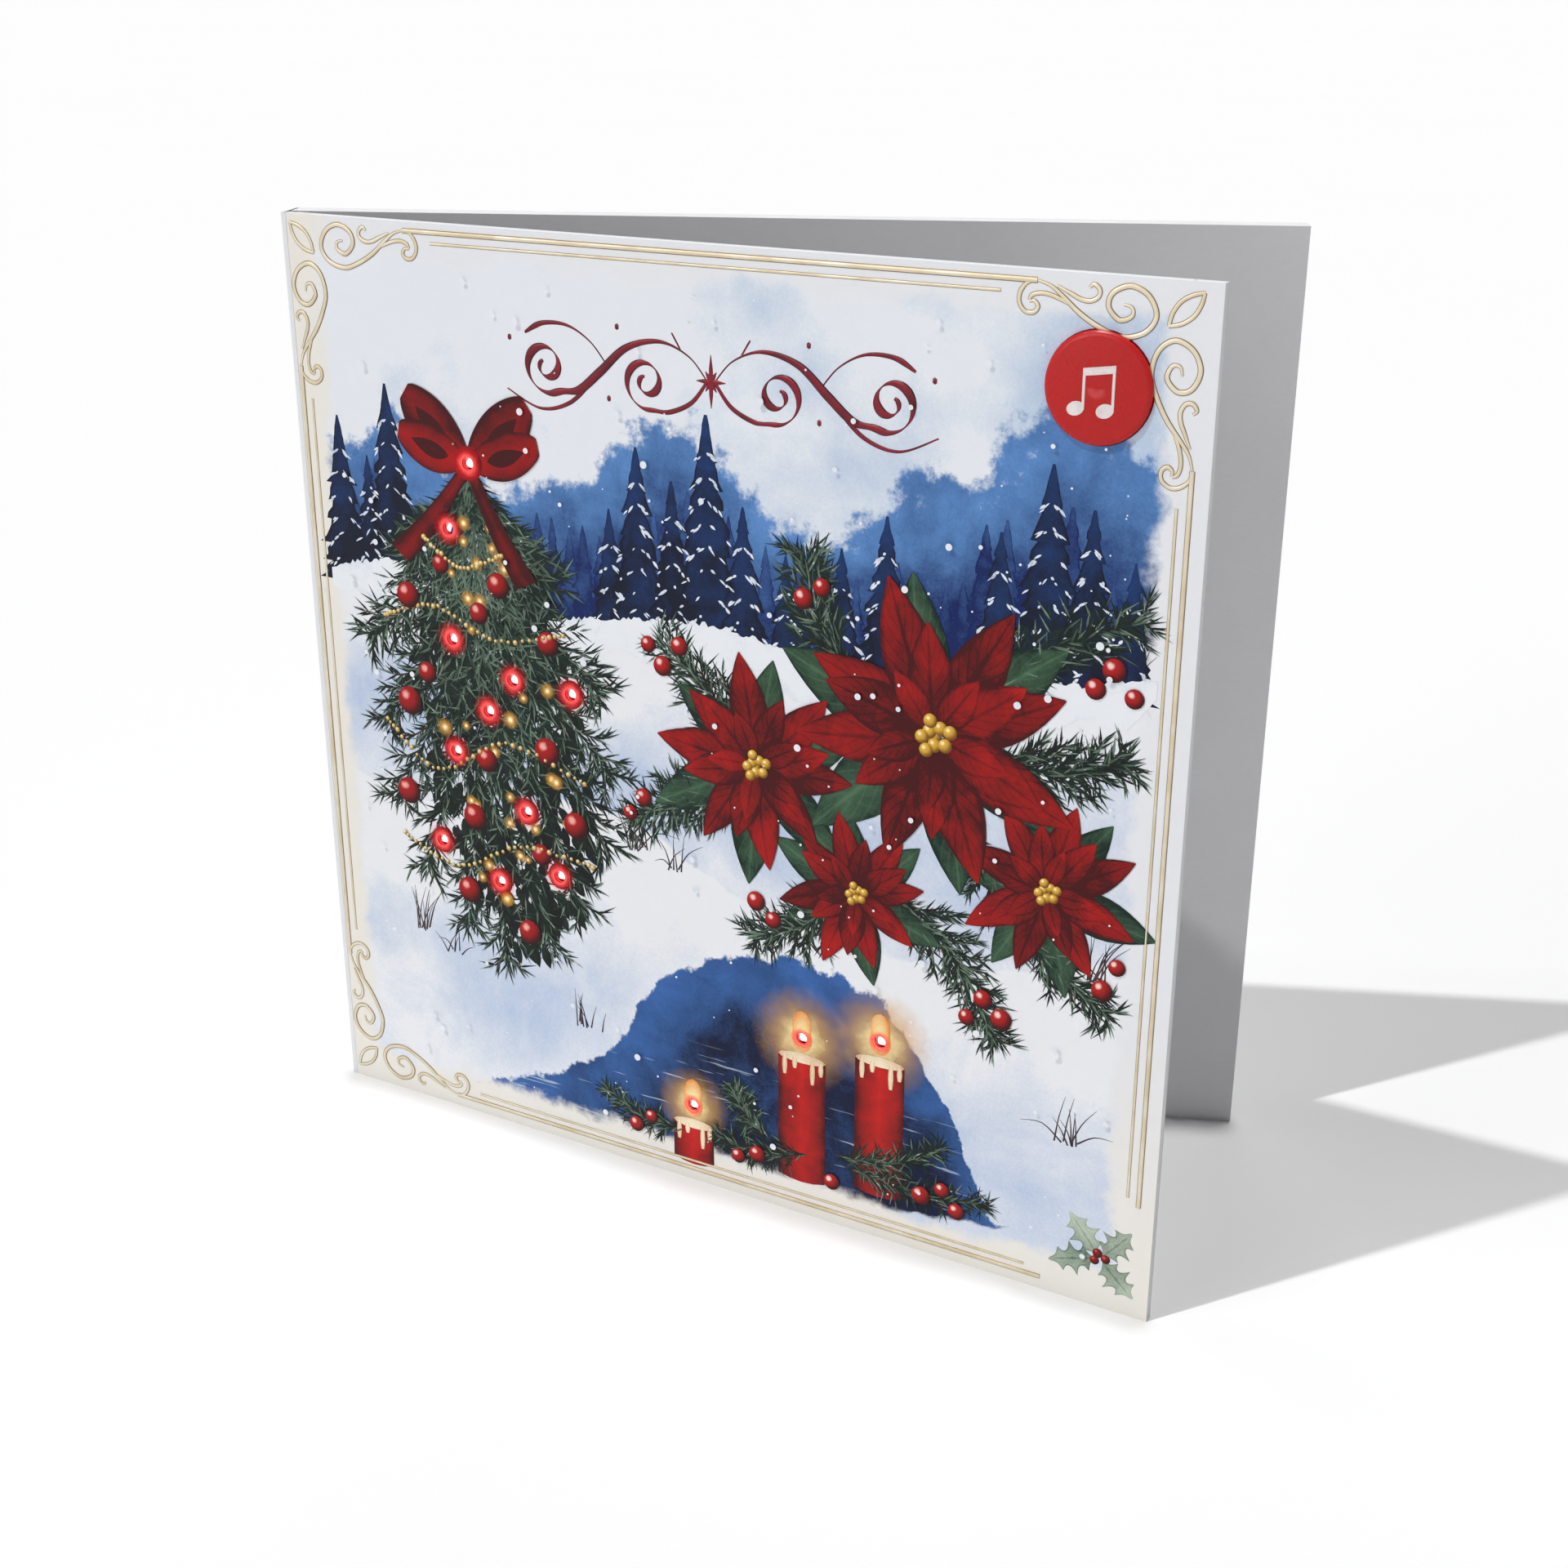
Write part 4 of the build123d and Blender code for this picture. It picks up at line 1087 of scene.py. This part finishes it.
SWAG_BAUBLES = [
    (20, 92, 2.2), (38, 96, 2.1), (47, 88, 2.0), (19, 74, 2.4), (46, 70, 2.4), (34, 66.5, 2.1),
    (17.5, 58, 2.3), (31, 56, 2.3), (51, 58.5, 2.3), (29, 42.5, 2.3), (41, 37.5, 2.2), (34, 91, 1.8),
    (23, 79.5, 1.8), (44, 52, 1.9), (27, 98, 1.6)]
BEAD_STRINGS = [
    [(15, 88), (25, 91), (37, 87), (50, 90)], [(14, 70), (24, 63), (38, 70), (53, 66)],
    [(16, 50), (27, 46.5), (40, 52.5), (54, 52)], [(24, 102), (31, 98), (39, 101)]]


def paint_swag_trim(chance):
    """The baubles between the lamps, strings of gold beads, painted gold glows and the red bow."""
    red = bauble_paint("bauble_paint", (250, 170, 160), (166, 16, 20), (48, 2, 6))
    baubles, beads, painted_glows = Films(0.11), Films(0.1), Films(0.09)
    add_discs(baubles, SWAG_BAUBLES)
    baubles.piece("swag_baubles", red)
    for points in BEAD_STRINGS:
        for along, up in smooth_line(points, 11):
            if clear_of_lamps((along, up), 1.9):
                spot = (along, up + chance.uniform(-0.2, 0.2))
                beads.add(*disc(spot, chance.uniform(0.3, 0.5), steps=5, columns=4))
    # Painted light: see-through gold glows with their own emission, strewn over the swag.
    for _ in range(34):
        up = chance.uniform(42, 106)
        spot = in_swag(up, chance.uniform(0.12, 0.88))
        if clear_of_lamps(spot, 2.6):
            painted_glows.add(*ring(spot, 0.0, chance.uniform(0.9, 1.9), rings=4, count=16))
    painted_glows.piece("gold_sparks", glow_paint("spark_light", (255, 240, 190), (214, 160, 70), 0.9, 1.6, 0.25))
    beads.piece("bead_strings", bauble_paint("bead_paint", (255, 250, 220), (226, 196, 120), (140, 96, 40)))

    def tail(t):
        return 0.45 + 0.55 * t

    def loop(t):
        return 0.35 + 0.65 * math.sin(math.pi * t) ** 0.7

    bow = Films(0.15)

    def add_part(away, angle, length, width, form, own, bend, steps, columns):
        bow.add(*blade(turned((away, 0), KNOT, angle), angle, length, width, form, own, bend, steps, columns))
    for angle, length, bend, own in ((-2.2, 19, -0.12, 0.9), (-1.15, 18, 0.1, 1.0)):
        add_part(2.4, angle, length, 4.4, tail, own, bend, 14, 7)
    for side in (-1, 1):
        for lift, length, width, own in ((0.62, 14.0, 8.4, 0.6), (0.2, 12.5, 7.2, 0.1)):
            angle = lift if side > 0 else math.pi - lift
            add_part(1.2, angle, length, width, loop, own, side * 0.1, 26, 11)
            add_part(length * 0.3, angle, length * 0.58, width * 0.36, pointed, 1.6, side * 0.1, 16, 7)
    bow.add(*ring(KNOT, HOLE, 2.7, own=0.2, rings=3))
    wash = paint("bow_wash", (190, 26, 26), (62, 3, 8), (0.26, 0.15, 0.35, 0.42), pool=120.0)
    bow.piece("ribbon_bow", wash)


def flame_reach(angle):
    """How far a flame stands from its lamp, furthest straight up."""
    return 1.75 + 3.0 * max(math.sin(angle), 0) ** 5 + 0.5 * max(-math.sin(angle), 0) ** 2


def paint_candles():
    """Three candles whose flames stand round lamps, and their light on the dusk behind."""
    sticks, tops, flames, halos = Films(0.03), Films(0.05), Films(0.07), Films(0.022)
    for key, foot, wide, reach in (("l", 3.6, 3.8, 7.5), ("m", 6.5, 4.2, 10.0), ("n", 8.0, 4.2, 10.0)):
        lamp = LAMPS[key]
        top = lamp[1] - 3.4

        def side_of(t, s):
            side = 2 * s - 1
            return (lamp[0] + wide * side, top + (foot - top) * t - 0.7 * (1 - side ** 2)), (t, side, 0.0)
        halos.add(*ring(lamp, HOLE, reach, rings=6, count=36))
        sticks.add(*grid(8, 5, side_of))
        rows, marks = disc((0, -0.1), 1.0, steps=7, columns=9)
        tops.add([[(lamp[0] + x * wide, top + z * 0.85) for x, z in row] for row in rows], marks)
        for x, drop in ((-0.72, 3.4), (-0.3, 2.0), (0.45, 4.2), (0.8, 2.4)):
            tops.add(*blade((lamp[0] + x * wide, top - 0.1), -math.pi / 2, min(drop, (top - foot) * 0.7), 0.9,
                            lambda t: 0.6 + 0.4 * math.sin(math.pi * t), steps=6, columns=4))
        flames.add(*ring(lamp, HOLE, flame_reach, rings=4, count=36))
    halos.piece("candle_halos", glow_paint("candle_light", (255, 234, 176), (226, 172, 96), 0.7, 1.9, 0.15))
    sticks.piece("candles", paint("candle_wash", (204, 34, 30), (72, 6, 12), (0.1, 0.2, 0.65, 0.0), rim=0.3,
                                  pool=160.0))
    tops.piece("candle_wax", paint("wax_wash", (250, 236, 206), (206, 150, 96), (0.15, 0.1, 0.4, 0.0)))
    flames.piece("candle_flames", paint("flame_wash", (255, 240, 176), (236, 132, 40), (-0.1, 0.95, 0.0, 0.0),
                                        rim=0.0))


TUFTS = [(63, 57, 11, 8), (69, 55, 7, 6), (139, 53, 12, 9), (133, 50, 8, 6), (18, 33, 12, 8), (25, 30, 7, 5),
         (136, 26, 10, 7), (51, 23, 9, 6), (141, 96, 7, 7), (60, 94, 8, 6)]


def paint_tufts():
    """Dry grass that stands out of the snow."""
    chance, runs = random.Random(17), []
    for along, up, count, size in TUFTS:
        for _ in range(count):
            angle = math.pi / 2 + chance.gauss(0, 0.42)
            length = size * chance.uniform(0.55, 1.1)
            foot = (along + chance.gauss(0, 1.1), up + chance.uniform(-0.5, 0.5))
            middle = turned((length * 0.55, 0), foot, angle)
            tip = turned((length * 0.5, 0), middle, angle + (angle - math.pi / 2) * chance.uniform(0.4, 1.3))
            run = smooth_line([foot, middle, tip], 4)
            runs.append([(*place, 1.3 - 1.1 * i / (len(run) - 1)) for i, place in enumerate(run)])
    ink = paint("grass_ink", (120, 92, 78), (30, 30, 52), (0.75, 0.0, 0.0, 0.0))
    draw_lines("dry_grass", runs, 0.12, 0.12, 0.88, ink, lift=0.04)


# Gold border, foil flourish and holly


INSETS = {"left": 1.55, "top": 1.35, "right": 2.45, "bottom": 2.1}
SCROLL = [
    [(22.0, 0.0), (20.2, 0.55), (18.6, 1.65), (16.0, 3.75), (13.2, 5.3), (10.4, 6.2), (7.4, 5.4), (6.0, 3.3),
     (7.1, 0.9), (9.5, -0.15), (11.8, 0.8), (12.3, 2.6), (10.8, 4.1), (9.2, 3.55), (9.2, 2.5), (10.3, 2.15)],
    [(17.4, 2.75), (19.4, 1.9), (21.2, 1.55), (22.6, 1.85), (23.1, 2.6)],
    [(22.2, 0.0), (23.5, 0.5), (24.3, 1.6), (24.4, 2.85), (23.6, 3.95), (22.4, 4.05), (21.8, 3.3),
     (22.3, 2.6), (23.0, 2.7)],
    [(19.3, 0.5), (17.6, 1.25), (16.0, 1.95), (14.7, 2.05), (13.7, 1.45), (13.6, 0.55), (14.4, -0.05),
     (14.95, 0.45)],
    [(0.0, 0.0), (1.55, 0.4), (2.95, 1.25), (3.95, 2.7), (4.35, 4.35)],
]
SCROLL_WIDTHS = [(1.0, 0.45), (0.8, 0.45), (0.85, 0.45), (0.85, 0.45), (0.8, 0.65)]


def tapered(points, thick, thin):
    """A run whose line thins at its ends."""
    run = smooth_line(points, 6)
    last = len(run) - 1
    return [(*place, thin + (thick - thin) * min(1.0, i / last * 5, (last - i) / last * 5))
            for i, place in enumerate(run)]


def corner_runs(across, upward):
    """The scrollwork of one corner, along both its sides."""
    runs = []
    side = INSETS["left"] if across > 0 else LEAF - INSETS["right"]
    level = INSETS["bottom"] if upward > 0 else LEAF - INSETS["top"]
    for way in (1, -1):
        for points, widths in zip(SCROLL, SCROLL_WIDTHS):
            places = [place[::way] for place in points]
            runs.append(tapered([(side + across * a, level + upward * b) for a, b in places], *widths))
    return runs


def lay_border():
    """The gold double line and its scrolled corners."""
    # Its third colour is the painted shade down the sides of the raised gold lines.
    gold = foil("gold_leaf", (230, 220, 198), (210, 194, 160), (122, 96, 60), 0.35, 0.3)
    runs = corner_runs(1, -1) + corner_runs(-1, -1) + corner_runs(1, 1)
    left, right = INSETS["left"], LEAF - INSETS["right"]
    bottom, top = INSETS["bottom"], LEAF - INSETS["top"]
    thick = [((left + 22, top), (right - 22, top)), ((left, bottom + 22), (left, top - 22)),
             ((right, 18.8), (right, top - 22)), ((left + 22, bottom), (133, bottom))]
    thin = [((left + 27, top - 1.6), (right - 27, top - 1.6)),
            ((left + 1.75, bottom + 27), (left + 1.75, top - 27)),
            ((right - 1.7, 20.0), (right - 1.7, top - 27)),
            ((left + 27, bottom + 1.45), (130.3, bottom + 1.45))]
    for lines, width in ((thick, 1.0), (thin, 0.6)):
        runs += [smooth_line([(*a, width), (*b, width)], 30) for a, b in lines]
    draw_lines("gold_border", runs, 0.4, 0.35, 0.65, gold)


def pen_line(points, thick, thin=0.28, slant=0.75):
    """A run as thick as a broad pen draws it, by the way that it heads."""
    run = smooth_line(points, 9)
    last, drawn = len(run) - 1, []
    for i, place in enumerate(run):
        before, after = run[max(i - 1, 0)], run[min(i + 1, last)]
        way = math.atan2(after[1] - before[1], after[0] - before[0])
        ends = 0.25 + 0.75 * min(1.0, i / last * 6, (last - i) / last * 6)
        drawn.append((*place, thin + (thick - thin) * abs(math.sin(way - slant)) ** 1.6 * ends))
    return drawn


def curl(middle, start, reach, turns, left=0.2):
    """Places on a curl that winds inwards."""
    count = int(turns * 12)
    shares = [i / count for i in range(count + 1)]
    return [turned((reach * (1 - (1 - left) * t ** 0.8), 0), middle, start + 2 * math.pi * turns * t)
            for t in shares]


STROKES = [
    ([(0.6, 0.0), (3.6, 3.2), (8.4, 4.9), (14.0, 3.6), (18.6, -0.2), (22.4, -3.2),
      *curl((28.2, -0.2), -2.2, 4.4, 1.5)], 1.8),
    ([(0.6, 0.0), (3.2, -3.2), (6.8, -4.9), *curl((10.8, -1.0), -1.9, 4.2, 1.5)], 1.6),
    ([(17.6, 0.9), (20.3, 3.9), (24.2, 5.9), (28.6, 5.9), (31.8, 4.3)], 1.2),
    ([(19.8, -1.4), (24.2, -5.3), (29.6, -6.6), (35.4, -4.2)], 0.9),
    ([(5.0, 4.1), (6.4, 6.3), *curl((8.9, 6.3), 2.9, 2.4, -0.9)], 1.0),
]


def lay_flourish():
    """A wine-red foil flourish high on the picture."""
    # Its third colour, near black, is the painted shade down the sides of the raised strokes.
    wine = foil("wine_foil", (134, 22, 38), (92, 10, 26), (26, 10, 26), 0.3, 0.45)
    (x, z), runs = (77.0, 131.2), []
    for side in (-1, 1):
        for points, thick in STROKES:
            runs.append([(x + side * a, z + b, width) for a, b, width in pen_line(points, thick)])
        for a, b in ((34.6, 3.4), (17.3, -4.0), (15.6, 6.4)):
            runs.append([(x + side * a + 0.3 * k, z + b, 1.25 - 0.5 * abs(k)) for k in (-1, 0, 1)])
    for k in range(8):
        angle, reach = k * math.pi / 4, 1.6 if k % 2 else 3.0
        a, b = reach * 0.8 * math.cos(angle), reach * 1.25 * math.sin(angle)
        runs.append([(x, z, 1.0), (x + a / 2, z + b / 2, 0.8), (x + a, z + b, 0.15)])
    draw_lines("foil_flourish", runs, 0.4, 0.2, 0.8, wine)


def spiny(t):
    """Half width of a holly leaf with its prickles."""
    prick = abs(((t * 3.6 + 0.35) % 1.0) - 0.5) * 2
    return pointed(t) * (0.5 + 0.62 * prick ** 2.4)


def paint_holly():
    """The holly sprig at the bottom right."""
    leaves, berries, (x, z) = Films(0.01), Films(0.03), (142.2, 8.4)
    for angle, length, own in ((2.2, 7.4, 0.0), (0.85, 6.6, 0.35), (-0.8, 6.8, 0.1), (-2.85, 7.6, 0.5)):
        root = turned((0.8, 0), (x, z), angle)
        leaves.add(*blade(root, angle, length, 5.4, spiny, own, 0.04, steps=45, columns=9))
    leaves.piece("holly_leaves", paint("holly_wash", (196, 208, 190), (70, 98, 78), (0.42, -0.35, 0.1, 0.3),
                                       veins=0.4, rim=0.55))
    add_discs(berries, [(x - 0.35, z + 0.8, 0.8), (x + 0.95, z + 0.1, 0.75), (x - 0.75, z - 0.5, 0.75)])
    red = bauble_paint("holly_berry_paint", (196, 84, 76), (132, 18, 22), (56, 4, 8))
    berries.piece("holly_berries", red)


def strew_snow(snow):
    """White dots of falling snow over the whole picture."""
    mesh = bpy.data.meshes.new("snowfall_field")
    corners = [on_front(a, u, -0.5) for a, u in ((6, 7), (143, 7), (143, 144), (6, 144))]
    mesh.from_pydata(corners, [], [(0, 1, 2, 3)])
    grow("falling_snow", mesh, SCATTER_TREE, {
        "Shape": DOT, "Lamps": LAMP_POINTS, "Density": 13000.0, "Smallest": 0.12 * MM, "Largest": 0.62 * MM,
        "Seed": 7, "Material": snow})


def light_lamps():
    """Red light on the print round each lamp."""
    glows = Films(0.26)
    for key, lamp in LAMPS.items():
        glows.add(*ring(lamp, HOLE - 0.04, 2.3 if key in CANDLE_LAMPS else 3.5, rings=8, count=36))
    glows.piece("lamp_glows", glow_paint("lamp_light", (255, 96, 96), (222, 16, 26), 0.85, 2.8, 0.35))


def button_note():
    """Two joined notes, raised on the button."""
    crown_radius, crown_height, rise_at_bevel = 6.6, 0.2, 0.8
    ball = (crown_radius ** 2 + crown_height ** 2) / (2 * crown_height)
    x, z = 134.6, 135.9

    def crown(along, up):
        away = math.hypot(along - x, up - z)
        return rise_at_bevel + crown_height - (ball - math.sqrt(ball ** 2 - away ** 2))

    note = Films(0.045, 0.0)
    for foot, top in ((-1.9, 2.5), (2.1, 3.1)):
        rows, marks = disc((0, 0), 1.0)
        head = (x + foot - 0.85, z - 2.7)
        note.add([[turned((a * 1.25, b * 0.92), head, 0.35) for a, b in row] for row in rows], marks, crown)
        note.add(*grid(6, 2, lambda t, s: (
            (x + foot - 0.02 + 0.38 * s, z - 2.4 + (top + 2.4) * t), (t, 2 * s - 1, 0.0))), crown)
    note.add(*grid(7, 3, lambda t, s: (
        (x - 1.92 + 4.38 * t, z + 2.5 + 0.66 * t - s), (t, 2 * s - 1, 0.0))), crown)
    wash = paint("note_print", (238, 232, 230), (206, 190, 188), (0.2, 0.0, 0.2, 0.0), rim=0.2, pool=900.0)
    note.piece("button_note", wash, slot="button_red", body="button")


INNER_FINISHES = {
    "white_foam": ((236, 236, 237), (226, 226, 228), 0.85, 0.0, 2600.0, 1,
                   ("back_pad", "front_strips", "speaker_gasket", "switch_ring", "board_pad")),
    "green_board": ((34, 118, 70), (20, 82, 50), 0.4, 0.0, 420.0, 5,
                    ("circuit_board", "lamp_boards", "terminal_board", "switch_board")),
    "black_resin": ((34, 34, 35), (14, 14, 15), 0.35, 0.0, 900.0, 1,
                    ("chip_blob", "resistors", "transistor")),
    "amber_can": ((196, 128, 48), (150, 92, 30), 0.4, 0.0, 900.0, 4, ("capacitor",)),
    "black_moulding": ((40, 40, 42), (22, 22, 24), 0.6, 0.0, 1800.0, 1, ("speaker_basket", "battery_tray")),
    "rolled_steel": ((202, 202, 200), (158, 158, 156), 0.3, 0.9, 900.0, 14,
                     ("speaker_magnet", "cells", "snap_dome")),
    "spring_brass": ((218, 200, 150), (180, 158, 106), 0.32, 0.9, 900.0, 14, ("cell_contacts",)),
    "cone_paper": ((58, 58, 61), (34, 34, 37), 0.8, 0.0, 1500.0, 1, ("speaker_cone",)),
    "red_wire_coat": ((176, 26, 24), (120, 14, 14), 0.4, 0.0, 1500.0, 1,
                      ("speaker_leads", "battery_leads", "lamp_wires", "switch_leads")),
    "lamp_moulding": ((240, 240, 232), (214, 212, 200), 0.45, 0.0, 1500.0, 1, ("lamp_bodies",)),
    "amber_tape": ((222, 164, 70), (190, 128, 44), 0.3, 0.0, 700.0, 1, ("wire_tapes",)),
}


def dress_solids():
    """Gives every CAD node its material; two of them go to the bridges as well."""
    white_card = card_stock("white_card", (232, 233, 236))
    # The lining card is greyer than the white card: painted shade for the card's inner faces, which are white
    # card lying in shade.
    lining_card = card_stock("lining_card", (218, 218, 221), fibre=700.0, mottle=0.08)
    ribbon_film = solid_finish("ribbon_film", (232, 231, 226), (190, 190, 186), 0.35, stretch=12)
    dress("front_cover", picture_paint())
    dress("lamp_lenses", lens_light())
    dress("button_cap", solid_finish("button_gloss", (190, 4, 6), (182, 3, 5), 0.3, scale=900.0, shine=0.35,
                                     depth=0.00001))
    dress("back_cover", white_card)
    for member in ("front_lining", "back_lining"):
        dress(member, lining_card)
    for member in ("back_ribbon", "front_ribbon"):
        dress(member, ribbon_film)
    for finish, (*look, members) in INNER_FINISHES.items():
        material = solid_finish(finish, *look)
        for member in members:
            dress(member, material)
    return white_card, lining_card, ribbon_film


add_camera()
add_sun("window_light", (53.7, 74.7), 1.52, 1.2)
add_sun("second_light", (120.0, 115.0), 0.1, 3.0)
add_sun("low_front_light", (280.0, 485.0), 0.62, 30.0)
add_sun("far_side_light", (107.0, -186.0), 0.28, 30.0)
add_sun("overhead_light", (0.0, -3.4), 1.47, 2.6)
light_room(0.04)
bpy.context.scene.view_settings.view_transform = "Standard"

white_card, lining_card, ribbon_film = dress_solids()

crease = [on_back(-0.03, 0, 1.6), on_back(-0.03, 0, 0.9), on_back(-0.03, 0, 0.25), on_front(0.02, 0, -0.01),
          on_front(0.45, 0, -0.03), on_front(0.9, 0, -0.03)]
bridge("crease", crease, 0, LEAF, 0.05, white_card, on_front(0.6, 75, 0))
gutter = [on_back(4.0, 0, 1.96), on_back(2.0, 0, 1.94), on_back(1.2, 0, 1.6), on_front(0.95, 0, 1.5),
          on_front(1.3, 0, 1.62), on_front(2.0, 0, 1.66), on_front(4.0, 0, 1.64)]
bridge("gutter", gutter, 0, LEAF, 0.05, lining_card,
       on_front(2.2, 75, 1.6))
ribbon = [on_back(0.625, 0, 1.2), on_back(0.625, 0, 2.0), on_back(0.62, 0, 2.08), on_front(0.46, 0, 0.98),
          on_front(0.5, 0, 0.925), on_front(1.2, 0, 0.925)]
bridge("ribbon_bridge", ribbon, 80, 88, 0.2, ribbon_film,
       on_front(0.5, 84, 0.93))

LINE_TREE, NEEDLE_TREE, SCATTER_TREE = make_line_tree(), make_needle_tree(), make_scatter_tree()
NEEDLE, DOT = helper("needle", needle_shape()), helper("dot", dot_shape())
lamp_points = bpy.data.meshes.new("lamp_points")
lamp_points.from_pydata([on_front(*lamp, -0.1) for lamp in LAMPS.values()], [], [])
LAMP_POINTS = helper("lamps", lamp_points)

chance = random.Random(5)
snow_wash = paint_woods()
paint_greens(chance)
paint_flowers(chance)
paint_swag_trim(chance)
paint_candles()
paint_tufts()
lay_border()
lay_flourish()
paint_holly()
strew_snow(snow_wash)
light_lamps()
button_note()
for spare in (NEEDLE, DOT, LAMP_POINTS):
    bpy.data.objects.remove(spare)
lay_floor()
